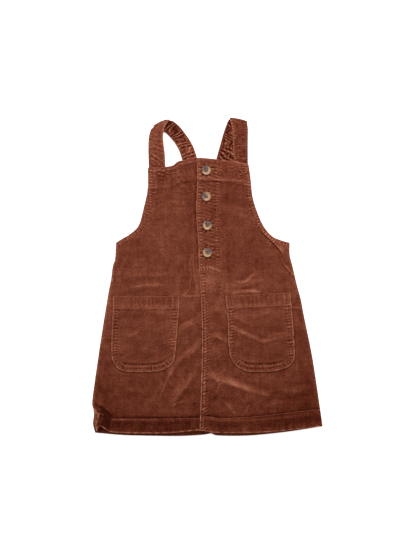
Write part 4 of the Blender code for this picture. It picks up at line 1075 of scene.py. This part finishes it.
def strap_path(table):
    """Rows of outer edge, inner edge and height of the inside face, evenly far apart along a strap, with
    each row's share of the fold's crown, share of gathers and distance past the fold, and the way out."""
    def spaced_by(points, length):
        rows = max(int(length / STRAP_ROW_LENGTH), STRAP_LEAST_ROWS)
        return at_stations(points, np.linspace(0.0, 1.0, rows))
    front, fold, back = table["front"], np.array(table["fold"]), table["back"]
    ahead = spaced_by(front, fold[1] - front[0][1])
    ahead[:, -1] = np.maximum(ahead[:, -1], 0.0)
    line = fold[2:] - fold[:2]
    outwards = np.array([-line[1], line[0]]) / np.linalg.norm(line)
    outwards *= math.copysign(1.0, outwards[1])
    turned = []
    for angle in np.linspace(0.0, math.pi, FOLD_TURNS):
        shift = outwards * EDGE_ROLL * math.sin(angle)
        z = STRAP_REST + STRAP + FOLD_RADIUS * (1.0 + math.cos(angle))
        turned.append([*(fold[:2] + shift), *(fold[2:] + shift), z])
    behind = spaced_by(back, fold[1] - back[-1][1])
    lowest = np.minimum(behind[:, 1], behind[:, 3])
    climb = (CLOTH + GAP) * smooth((CLIMB_START - (lowest - BACK_TOP[0][1])) / (CLIMB_START - CLIMB_END))
    behind[:, -1] = STRAP_REST + STRAP + climb
    path = curve(np.vstack([ahead, turned, behind]), STRAP_SPANS)
    length = travelled(np.column_stack([0.5 * (path[:, 0:2] + path[:, 2:4]), path[:, 4]]))
    stations = np.arange(0.0, length[-1], STRAP_STEP)
    path = np.stack([np.interp(stations, length, column) for column in path.T], axis=1)
    highest = np.argmax(path[:, 4])
    past = stations - stations[highest + np.argmax(path[highest:, 4] < STRAP_REST + STRAP + FOLD_RADIUS)]
    near = smooth(np.abs(past) / SOFT_FROM)[:, None]
    path = path * (1.0 - near) + blurred(path, (SOFT_REACH / STRAP_STEP,)) * near
    shoulder = bell(past, SHOULDER_WIDTH) - bell(past, SHOULDER_GAP)
    path[:, :4] += FOLD_SHOULDER * shoulder[:, None] * np.tile(outwards, 2)
    crown = 1.0 - smooth((np.abs(past) - CROWN_FROM) / CROWN_FADE)
    gathered = smooth((past - CROWN_FROM) / GATHER_FADE)
    return path, crown, gathered[:, None], past[:, None], outwards


def edge_rows(strip, period, height, seed):
    """A furrow along the stitches at both edges of a strap, and the small puckers across it."""
    furrow = -STRAP_ROWS_DEPTH * bell(strip.from_edge - STRAP_NEAR_EDGE, STRAP_ROWS_WIDTH)
    drift = PUCKER_DRIFT * wobble(strip.s + STRAP_SIDE_SHIFT * (strip.aside > 0), 4 * period, seed)
    window = smooth((strip.from_edge - PUCKER_FROM) / PUCKER_START)
    window = window * smooth((PUCKER_TO - strip.from_edge) / PUCKER_END)
    return furrow + height * window * np.cos(math.tau * (strip.s / period + drift))


def strap_relief(strip, side, lean, gathered, seed):
    """Heights of a strap's right side, and of its reverse with the rucks that the fold gathers there."""
    s, aside, from_edge = strip
    plain = edge_rows(strip, *PLAIN_EDGE, seed) + PLAIN_WAVE * uneven(aside, s, PLAIN_WAVE_LENGTH, seed + 1)
    plain = plain + sum(crease_height(crease, aside, s) for crease in STRAP_CREASES[side])
    slant = lean + SLANT_SPREAD * wobble(s, SLANT_WAVE, seed + 2)
    phase = (s + slant * aside) / RUCK_PERIOD + RUCK_DRIFT * wobble(s, RUCK_WAVE, seed + 3)
    phase = phase + RUCK_BEND * uneven(aside, s, RUCK_WAVE, seed + 4)
    crest = 1.0 - np.abs(np.cos(math.pi * phase))
    force = strength(s + 2 * aside, RUCK_FORCE_WAVE, seed + 5, *RUCK_STRENGTH)
    ruck = RUCK_HEIGHT * (crest - RUCK_LEVEL) * force
    ruck = ruck + RUCK_RUMPLE * uneven(aside, s, RUCK_RUMPLE_SIZE, seed + 6)
    reverse = ruck * smooth(from_edge / RUCK_EDGE) + edge_rows(strip, *REVERSE_EDGE, seed + 7)
    return plain * (1.0 - PLAIN_BEHIND * gathered), gathered * reverse


def strap_tones(strip, table, past, relief, reverse_relief, seed):
    """Tones of a strap's right side and of its reverse: painted highlight along the edge that catches the
    light and on rises, painted shade in furrows and inside the fold, and the strap's own tone.
    """
    s, aside, from_edge = strip
    bright = aside * table["bright_side"] > 0.0
    fine, broad = crests_of(relief, aside, s)
    edge = np.where(bright, EDGE_LIGHT, FAR_EDGE_LIGHT) * bell(from_edge, EDGE_LIGHT_WIDTH)
    rumple = uneven(aside, s, LADDER_SIZE, seed + 9, LADDER_STRETCH)
    # Puckers along the edges painted lighter and darker as shading
    ladder = edge_rows(strip, *LADDER_EDGE, seed + 8) + LADDER_RUMPLE * rumple
    # The strap's own tone, shifted near the fold and towards its base
    tone_shift = table["tone"] + table["fold_tone"] * bell(past, FOLD_TONE_REACH)
    tone_shift = tone_shift + table["foot_tone"] * smooth((-past - FOOT_FROM) / FOOT_FADE)
    right_side = STRAP_CREST_LIGHT * fine + STRAP_BROAD_PAINTED_SHADING * broad + edge + ladder + tone_shift
    fine, broad = crests_of(reverse_relief, aside, s)
    far_rim = FAR_RIM_LIGHT - FAR_RIM_SHADE * bell(past, FAR_RIM_REACH)
    rim = np.where(bright, RIM_LIGHT, far_rim) * bell(from_edge, RIM_LIGHT_WIDTH)
    shade = table["shade"] + FOLD_SHADE * bell(past, FOLD_SHADE_REACH)
    shade = shade + table["far_shade"] * smooth((past - FAR_FROM) / FAR_FADE)
    reverse = REVERSE_CREST_LIGHT * fine + STRAP_BROAD_PAINTED_SHADING * broad + rim - shade
    return np.clip(right_side, -1, 1), np.clip(reverse, -1, 1)


def strap_places(faces, normal, along, from_edge, gathered):
    """Places for the stitches along both edges, on whichever side of the strap lies upwards."""
    rows, columns = from_edge.shape
    places = []
    for station in np.arange(0.0, along[-1], STITCH_PITCH):
        row = int(np.searchsorted(along, station))
        if row < 2 or row > rows - 3:
            continue
        behind = gathered[row, 0] > 0.5
        face, sign = faces[behind], -1.0 if behind else 1.0
        far_edge = columns - 1 - int(np.argmax(from_edge[row][::-1] > STRAP_NEAR_EDGE))
        for column in (int(np.argmax(from_edge[row] > STRAP_NEAR_EDGE)), far_edge):
            ahead = face[row + 1, column] - face[row - 1, column]
            steep = abs(ahead[2]) > STEEPEST * np.linalg.norm(ahead)
            if sign * normal[row, column, 2] >= LEAST_FACING and not steep:
                place = face[row, column] + normal[row, column] * THREAD_RISE * sign
                places.append((*place, ahead, STITCH_LENGTH, THREAD_RADIUS))
    return places


def make_strap(side, table, finish, thread):
    path, crown, gathered, past, outwards = strap_path(table)
    share = shares(STRAP_WIDTH, STRAP_SPACING)
    outer, inner = path[:, None, 0:2], path[:, None, 2:4]
    if table["turn_over"]:
        outer, inner = inner, outer
    bulge = crown[:, None, None] * 4.0 * share[:, None] * (1.0 - share[:, None])
    flat = outer + (inner - outer) * share[:, None] + outwards * table["crown"] * bulge
    inside = np.dstack([flat, np.broadcast_to(path[:, 4][:, None], flat.shape[:2])])
    normal = np.cross(np.gradient(inside, axis=1), np.gradient(inside, axis=0))
    normal /= np.maximum(np.linalg.norm(normal, axis=2, keepdims=True), 1e-9)
    width = np.linalg.norm(inner - outer, axis=2)
    from_edge = width * np.minimum(share, 1.0 - share)
    along = travelled(inside[:, len(share) // 2])
    s = np.broadcast_to(along[:, None], from_edge.shape)
    strip, seed = Strip(s, width * (share - 0.5), from_edge), STRAP_SEED[side]
    bend = rounded(from_edge) * rounded(np.minimum(s, s[-1] - s))
    relief, reverse_relief = strap_relief(strip, side, table["lean"], gathered, seed)
    middle = inside + normal * (0.5 * STRAP)
    upper = middle + normal * ((0.5 * STRAP + relief) * bend)[:, :, None]
    lower = middle - normal * ((0.5 * STRAP + reverse_relief) * bend)[:, :, None]
    index = np.arange(s.size).reshape(s.shape)
    below, own = index.copy(), index[1:-1, 1:-1].ravel()
    below[1:-1, 1:-1] = s.size + np.arange(len(own)).reshape(below[1:-1, 1:-1].shape)
    faces = quads(index).tolist() + quads(below)[:, ::-1].tolist()
    points = np.vstack([upper.reshape(-1, 3), lower.reshape(-1, 3)[own]])
    tone, reverse_tone = strap_tones(strip, table, past, relief, reverse_relief, seed)
    nap = np.r_[tone.ravel(), reverse_tone.ravel()[own]]
    grain = np.stack([strip.aside.ravel(), s.ravel()], axis=1)
    made = mesh_piece(f"strap_{side}_cloth", points, faces, [f"strap_{side}"], finish, nap,
                      np.vstack([grain, grain[own]]))
    # The thread takes the tight turn of the fold more evenly than the cloth under it
    tight = bell(from_edge, TIGHT_WIDTH) * (1.0 - smooth(np.abs(past) / TIGHT_REACH))
    for sheet in (upper, lower):
        for axis in range(3):
            eased = blurred(sheet[:, :, axis], (THREAD_EASE / STRAP_STEP,))
            sheet[:, :, axis] += tight * (eased - sheet[:, :, axis])
        sheet[:, :, 2] = np.maximum(sheet[:, :, 2], 0.0)
    places = strap_places((upper, lower), normal, along, from_edge, gathered)
    return made, thread_piece(f"strap_{side}_stitches", places, thread)


# Buttons ----------------------------------------

# Steps towards the middle of a button's face: how far in, and how far down after that
BUTTON_STEPS = [(0.8, 0.0), (BUTTON_RIM - 0.8, -0.35), (0.7, -0.35), (1.4, 0.7 - BUTTON_DISH)]
BUTTON_BEVEL, BUTTON_BEVEL_ANGLE, BUTTON_SMOOTH_ANGLE = 0.45, math.radians(40), math.radians(35)
THREAD_LEVELS = [(0.2, 1.0), (0.55, -1.0)]      # how high each pair of threads lies, and its slant
THREAD_SHIFT, THREAD_SEAT, THREAD_SPAN, THREAD_THICK = 0.3, 0.1, 1.35, 0.36


def deselect():
    if bpy.context.mode != "OBJECT":
        bpy.ops.object.mode_set(mode="OBJECT")
    bpy.ops.object.select_all(action="DESELECT")


def carve_face(made):
    """Steps a button's upper face inwards, to its rim and its dish."""
    bpy.ops.object.mode_set(mode="EDIT")
    shape = bmesh.from_edit_mesh(made.data)
    shape.select_mode = {"FACE"}
    for face in shape.faces:
        face.select_set(face.normal.z > 0.9)
    shape.select_flush_mode()
    bmesh.update_edit_mesh(made.data)
    for inset, rise in BUTTON_STEPS:
        bpy.ops.mesh.inset(thickness=inset * MM)
        bpy.ops.transform.translate(value=(0.0, 0.0, rise * MM))
    bpy.ops.object.mode_set(mode="OBJECT")


def drill_holes(made, x, y, z):
    half = 0.5 * BUTTON_HOLE_SPACING * MM
    for dx, dy in ((-half, -half), (half, -half), (-half, half), (half, half)):
        deselect()
        bpy.ops.mesh.primitive_cylinder_add(vertices=16, radius=BUTTON_HOLE_RADIUS * MM,
                                            depth=4 * BUTTON_THICKNESS * MM, location=(x + dx, y + dy, z))
        drill = bpy.context.active_object
        cut = made.modifiers.new("hole", "BOOLEAN")
        cut.operation, cut.object = "DIFFERENCE", drill
        bpy.context.view_layer.objects.active = made
        bpy.ops.object.modifier_apply(modifier=cut.name)
        bpy.data.objects.remove(drill, do_unlink=True)


def make_button(number, finish, thread):
    """A turned four-hole button with a rim and a dished middle, sewn on with crossed threads."""
    low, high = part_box(f"button_{number}")
    x, y, z = 0.5 * (low.x + high.x), 0.5 * (low.y + high.y), low.z
    deselect()
    bpy.ops.mesh.primitive_cylinder_add(vertices=56, radius=BUTTON_RADIUS * MM, depth=BUTTON_THICKNESS * MM,
                                        location=(x, y, z + 0.5 * BUTTON_THICKNESS * MM))
    made = bpy.context.active_object
    made.name = f"button_{number}_horn"
    bpy.ops.object.transform_apply(location=True, rotation=True, scale=True)
    carve_face(made)
    edge = made.modifiers.new("edge", "BEVEL")
    edge.width, edge.segments = BUTTON_BEVEL * MM, 3
    edge.limit_method, edge.angle_limit = "ANGLE", BUTTON_BEVEL_ANGLE
    bpy.ops.object.modifier_apply(modifier=edge.name)
    drill_holes(made, x, y, z)
    deselect()
    made.select_set(True)
    bpy.context.view_layer.objects.active = made
    bpy.ops.object.shade_smooth_by_angle(angle=BUTTON_SMOOTH_ANGLE)
    local = np.empty(len(made.data.vertices) * 3)
    made.data.vertices.foreach_get("co", local)
    east, north = (local.reshape(-1, 3)[:, :2] - (x, y)).T / (BUTTON_RADIUS * MM)
    bloom_east, bloom_north, bloom_radius = BLOOMS[number - 1]
    store(made.data, "rim", np.hypot(east, north))
    store(made.data, "east", (east - bloom_east) / bloom_radius)
    store(made.data, "north", (north - bloom_north) / bloom_radius)
    finish_piece(made, [f"button_{number}"], finish)
    seat = z / MM + BUTTON_THICKNESS - BUTTON_DISH + THREAD_SEAT
    length = THREAD_SPAN * (BUTTON_HOLE_SPACING + 1.0)
    places = [(x / MM + shift, y / MM - slant * shift, seat + lift, (1.0, slant, 0.0), length, THREAD_THICK)
              for lift, slant in THREAD_LEVELS for shift in (-THREAD_SHIFT, THREAD_SHIFT)]
    thread_piece(f"button_{number}_thread", places, thread)


# Finishes ----------------------------------------

PILE_DEPTH, PILE_BUMP, PILE_TONE, TONE_AND_SHADING_GAIN = 0.00035, 0.8, 0.47, 0.5    # depths in metres
RIB_TONE, RIB_DRIFT, RIB_DRIFT_SCALE, RIB_DRIFT_STRETCH, RIB_ROUGH = 0.15, 2.4, 0.16, 0.25, 0.10
THREAD_DEPTH, HORN_DEPTH = 0.00008, 0.00006
MIX_FACTOR, MIX_A, MIX_B, MIX_RESULT = 0, 6, 7, 2   # a Mix node's sockets for colours
BLOOM_EDGE, BLOOM_SHARP, BLOOM_CLOUD = 1.02, 1.6, 1.1
# How far a button darkens towards its rim
RIM_DARKENING_FROM, RIM_DARKENING_SHARP, RIM_DARKENING_MOST = 0.86, 6.0, 0.75


class Value:
    """A socket that can be reckoned with: each operator adds its Math node."""

    def __init__(self, finish, socket):
        self.finish, self.socket = finish, socket

    def _with(self, operation, *inputs):
        return self.finish.node("ShaderNodeMath", {"operation": operation}, dict(enumerate(inputs)))

    def __add__(self, other):
        return self._with("ADD", self, other)

    def __sub__(self, other):
        return self._with("SUBTRACT", self, other)

    def __rsub__(self, other):
        return self._with("SUBTRACT", other, self)

    def __mul__(self, other):
        return self._with("MULTIPLY", self, other)

    def __radd__(self, other):
        return self._with("ADD", other, self)

    def __rmul__(self, other):
        return self._with("MULTIPLY", other, self)

    def cosine(self):
        return self._with("COSINE", self)

    def clamped(self, low, high):
        return self._with("MINIMUM", self._with("MAXIMUM", self, low), high)


class Finish:
    """A material and its nodes."""

    def __init__(self, name, **fixed):
        self.material = bpy.data.materials.new(name)
        self.material.use_nodes = True
        self.nodes, self.links = self.material.node_tree.nodes, self.material.node_tree.links
        self.shader = self.nodes["Principled BSDF"]
        self.feed(**fixed)
        self.place = self.node("ShaderNodeTexCoord", {}, {}, "Object")

    def set(self, node, inputs):
        for key, value in inputs.items():
            if isinstance(value, Value):
                self.links.new(value.socket, node.inputs[key])
            else:
                node.inputs[key].default_value = value

    def node(self, kind, settings, inputs, output=0):
        made = self.nodes.new(kind)
        for key, value in settings.items():
            setattr(made, key, value)
        self.set(made, inputs)
        return Value(self, made.outputs[output])

    def ramp(self, share, stops):
        """Colours blended through stops of a place and a colour."""
        made = self.node("ShaderNodeValToRGB", {}, {"Fac": share})
        elements = made.socket.node.color_ramp.elements
        while len(elements) < len(stops):
            elements.new(0.5)
        for stop, (place, colour) in zip(elements, stops):
            stop.position, stop.color = place, opaque(*colour)
        return made

    def mixed(self, share, first, second):
        return self.node("ShaderNodeMix", {"data_type": "RGBA"},
                         {MIX_FACTOR: share, MIX_A: first, MIX_B: second}, MIX_RESULT)

    def noise(self, vector, scale, detail, rough):
        return self.node("ShaderNodeTexNoise", {"noise_dimensions": "3D"},
                         {"Vector": vector, "Scale": scale, "Detail": detail, "Roughness": rough})

    def attribute(self, name):
        return self.node("ShaderNodeAttribute", {"attribute_name": name}, {}, "Fac")

    def bump(self, height, depth, amount):
        return self.node("ShaderNodeBump", {}, {"Height": height, "Distance": depth, "Strength": amount})

    def feed(self, **inputs):
        self.set(self.shader, {key.replace("_", " "): value for key, value in inputs.items()})
        return self.material


def opaque(r, g, b):
    return (r, g, b, 1.0)


def corduroy(name, colours, crushed=1.0):
    """Cut-pile corduroy: ribs and furrows, pile that catches the light unevenly, and each point's own tone,
    a crest lighter partly as wear and partly as painted highlight, furrows and hollows darker as painted
    shade.
    """
    made = Finish(name, Sheen_Weight=0.28, Sheen_Roughness=0.45, Sheen_Tint=opaque(1.0, 0.40, 0.14),
                  Specular_IOR_Level=0.05)
    flat = made.node("ShaderNodeUVMap", {"uv_map": "cloth"}, {})
    u, v = (made.node("ShaderNodeSeparateXYZ", {}, {"Vector": flat}, axis) for axis in ("X", "Y"))

    def fibres(along_u, along_v, scale, detail, rough):
        where = made.node("ShaderNodeCombineXYZ", {}, {"X": u * along_u, "Y": v * along_v})
        return made.noise(where, scale, detail, rough)
    drift = fibres(1.0, RIB_DRIFT_STRETCH, RIB_DRIFT_SCALE, 2.0, 0.5)
    rib = (u * (math.tau / WALE) + drift * RIB_DRIFT).cosine() * 0.5 + 0.5
    pile, tuft = fibres(1.0, 0.6, 0.9, 3.0, 0.7), fibres(1.0, 1.15, 0.30, 3.0, 0.65)
    vein, streak = fibres(1.0, 0.10, 0.22, 3.0, 0.6), fibres(0.03, 0.11, 1.0, 3.0, 0.6)
    blotch, cloud = made.noise(made.place, 60.0, 3.0, 0.6), made.noise(made.place, 21.0, 2.0, 0.5)
    marks = [(blotch, 0.30), (cloud, 0.20), (streak, 0.18), (vein, 0.22), (tuft, 0.64 * crushed),
             (pile, 0.64 * crushed), (rib, RIB_TONE)]
    # The attribute holds each point's tone together with its painted highlight and painted shade
    tone = made.attribute("nap") * TONE_AND_SHADING_GAIN + PILE_TONE
    for mark, weight in marks:
        tone = tone + (mark - 0.5) * weight
    bump = made.bump(rib * 0.5 + pile * 0.5 + tuft * 0.8, PILE_DEPTH, PILE_BUMP)
    colour = made.ramp(tone.clamped(0.0, 1.0), colours)
    return made.feed(Base_Color=colour, Roughness=0.92 - rib * RIB_ROUGH, Normal=bump)


def sewing_thread(name, light, dark):
    made = Finish(name, Sheen_Weight=0.2, Sheen_Roughness=0.4, Specular_IOR_Level=0.3)
    twist, shade = made.noise(made.place, 2600.0, 2.0, 0.6), made.noise(made.place, 160.0, 2.0, 0.5)
    colour = made.ramp(twist * 0.5 + shade * 0.5, [(0.3, dark), (0.7, light)])
    bump = made.bump(twist, THREAD_DEPTH, 0.7)
    return made.feed(Base_Color=colour, Roughness=0.62 + twist * 0.2, Normal=bump)


def horn(name):
    """Mottled horn: cream, with a smoky bloom to one side, flecked with blue-grey and dark brown."""
    made = Finish(name, Specular_IOR_Level=0.18, Coat_Roughness=0.3)
    east, north = made.attribute("east"), made.attribute("north")
    cloud, fleck = made.noise(made.place, 240.0, 3.0, 0.6), made.noise(made.place, 620.0, 2.0, 0.6)
    turned = made.node("ShaderNodeMapping", {}, {"Vector": made.place, "Rotation": (0.0, 0.0, 0.7),
                                                 "Scale": (1.0, 2.6, 1.0)})
    vein = made.noise(turned, 330.0, 4.0, 0.6)
    bloom = (BLOOM_EDGE - (east * east + north * north)) * BLOOM_SHARP + (cloud - 0.5) * BLOOM_CLOUD
    cream, smoke = made.ramp(vein * 0.8 + fleck * 0.2, CREAM), made.ramp(vein * 0.7 + fleck * 0.3, SMOKE)
    # Darker towards the button's rim
    tone_shift = ((made.attribute("rim") - RIM_DARKENING_FROM) * RIM_DARKENING_SHARP).clamped(0.0, RIM_DARKENING_MOST)
    colour = made.mixed(tone_shift, made.mixed(bloom.clamped(0.0, 1.0), cream, smoke), opaque(0.10, 0.05, 0.032))
    return made.feed(Base_Color=colour, Roughness=0.42 + cloud * 0.14, Coat_Weight=0.06 + vein * 0.08,
                     Normal=made.bump(vein, HORN_DEPTH, 0.4))


def paper(name):
    made = Finish(name, Specular_IOR_Level=0.1, Emission_Color=opaque(1.0, 1.0, 1.0), Emission_Strength=0.45)
    cloud = made.noise(made.place, 3.0, 2.0, 0.5)
    tint = 0.93 + cloud * 0.03
    colour = made.node("ShaderNodeCombineColor", {}, {"Red": tint, "Green": tint, "Blue": tint})
    return made.feed(Base_Color=colour, Roughness=0.9 + cloud * 0.05)


RUST = [(0.0, (0.022, 0.0016, 0.0006)), (0.25, (0.072, 0.0116, 0.0040)), (0.50, (0.131, 0.0312, 0.0160)),
        (0.75, (0.219, 0.0650, 0.0360)), (1.0, (0.360, 0.1340, 0.0750))]
CREAM = [(0.36, (0.23, 0.110, 0.060)), (0.52, (0.38, 0.222, 0.124)), (0.66, (0.51, 0.365, 0.225))]
SMOKE = [(0.38, (0.030, 0.016, 0.013)), (0.50, (0.105, 0.062, 0.050)), (0.62, (0.27, 0.245, 0.235))]

# Scene ----------------------------------------

CLOTH_FINISH = corduroy("rust_corduroy", RUST)
STRAP_FINISH = corduroy("rust_corduroy_strap", RUST, 1.7)
THREAD_FINISH = sewing_thread("rust_thread", (0.34, 0.110, 0.060), (0.16, 0.042, 0.022))
BUTTON_THREAD = sewing_thread("button_thread", (0.23, 0.100, 0.072), (0.12, 0.04, 0.028))
HORN_FINISH = horn("mottled_horn")
SIDES = ("left", "right")

backs = {side: make_back(side, CLOTH_FINISH) for side in SIDES}
fronts = {side: make_front(side, CLOTH_FINISH) for side in SIDES}
front_stitches = {side: front_threads(side, THREAD_FINISH) for side in SIDES}
pockets = {side: make_pocket(side, CLOTH_FINISH, THREAD_FINISH) for side in SIDES}
straps = {side: make_strap(side, table, STRAP_FINISH, THREAD_FINISH)
          for side, table in zip(SIDES, (LEFT_STRAP, RIGHT_STRAP))}
for number in range(1, 5):
    make_button(number, HORN_FINISH, BUTTON_THREAD)

scene = bpy.context.scene
eye = bpy.data.cameras.new("overhead")
eye.lens, eye.sensor_width = 85.0, 36.0
eye.clip_start, eye.clip_end = 0.05, 50.0
camera = bpy.data.objects.new("overhead", eye)
camera.location = (0.00107, -0.00107, 2.149)
scene.collection.objects.link(camera)
scene.camera = camera

bpy.ops.mesh.primitive_plane_add(size=12.0, location=(0.0, 0.0, -0.0006))
floor = bpy.context.active_object
floor.name = "floor"
floor.data.materials.append(paper("white_paper"))


def softbox(name, place, aim, width, depth, power):
    light = bpy.data.lights.new(name, "AREA")
    light.shape, light.size, light.size_y, light.energy = "RECTANGLE", width, depth, power
    made = bpy.data.objects.new(name, light)
    scene.collection.objects.link(made)
    made.location = place
    made.rotation_mode = "QUATERNION"
    made.rotation_quaternion = (Vector(aim) - Vector(place)).to_track_quat("-Z", "Y")


softbox("key", (0.20, 1.25, 1.05), (0.0, 0.10, 0.0), 1.1, 0.5, 27.0)
softbox("fill", (-1.2, -1.6, 2.0), (0.0, 0.0, 0.0), 1.6, 1.2, 8.0)
world = bpy.data.worlds.new("studio")
world.use_nodes = True
world.node_tree.nodes["Background"].inputs["Color"].default_value = (1.0, 0.985, 0.97, 1.0)
world.node_tree.nodes["Background"].inputs["Strength"].default_value = 0.65
scene.world = world
scene.view_settings.view_transform = "Standard"
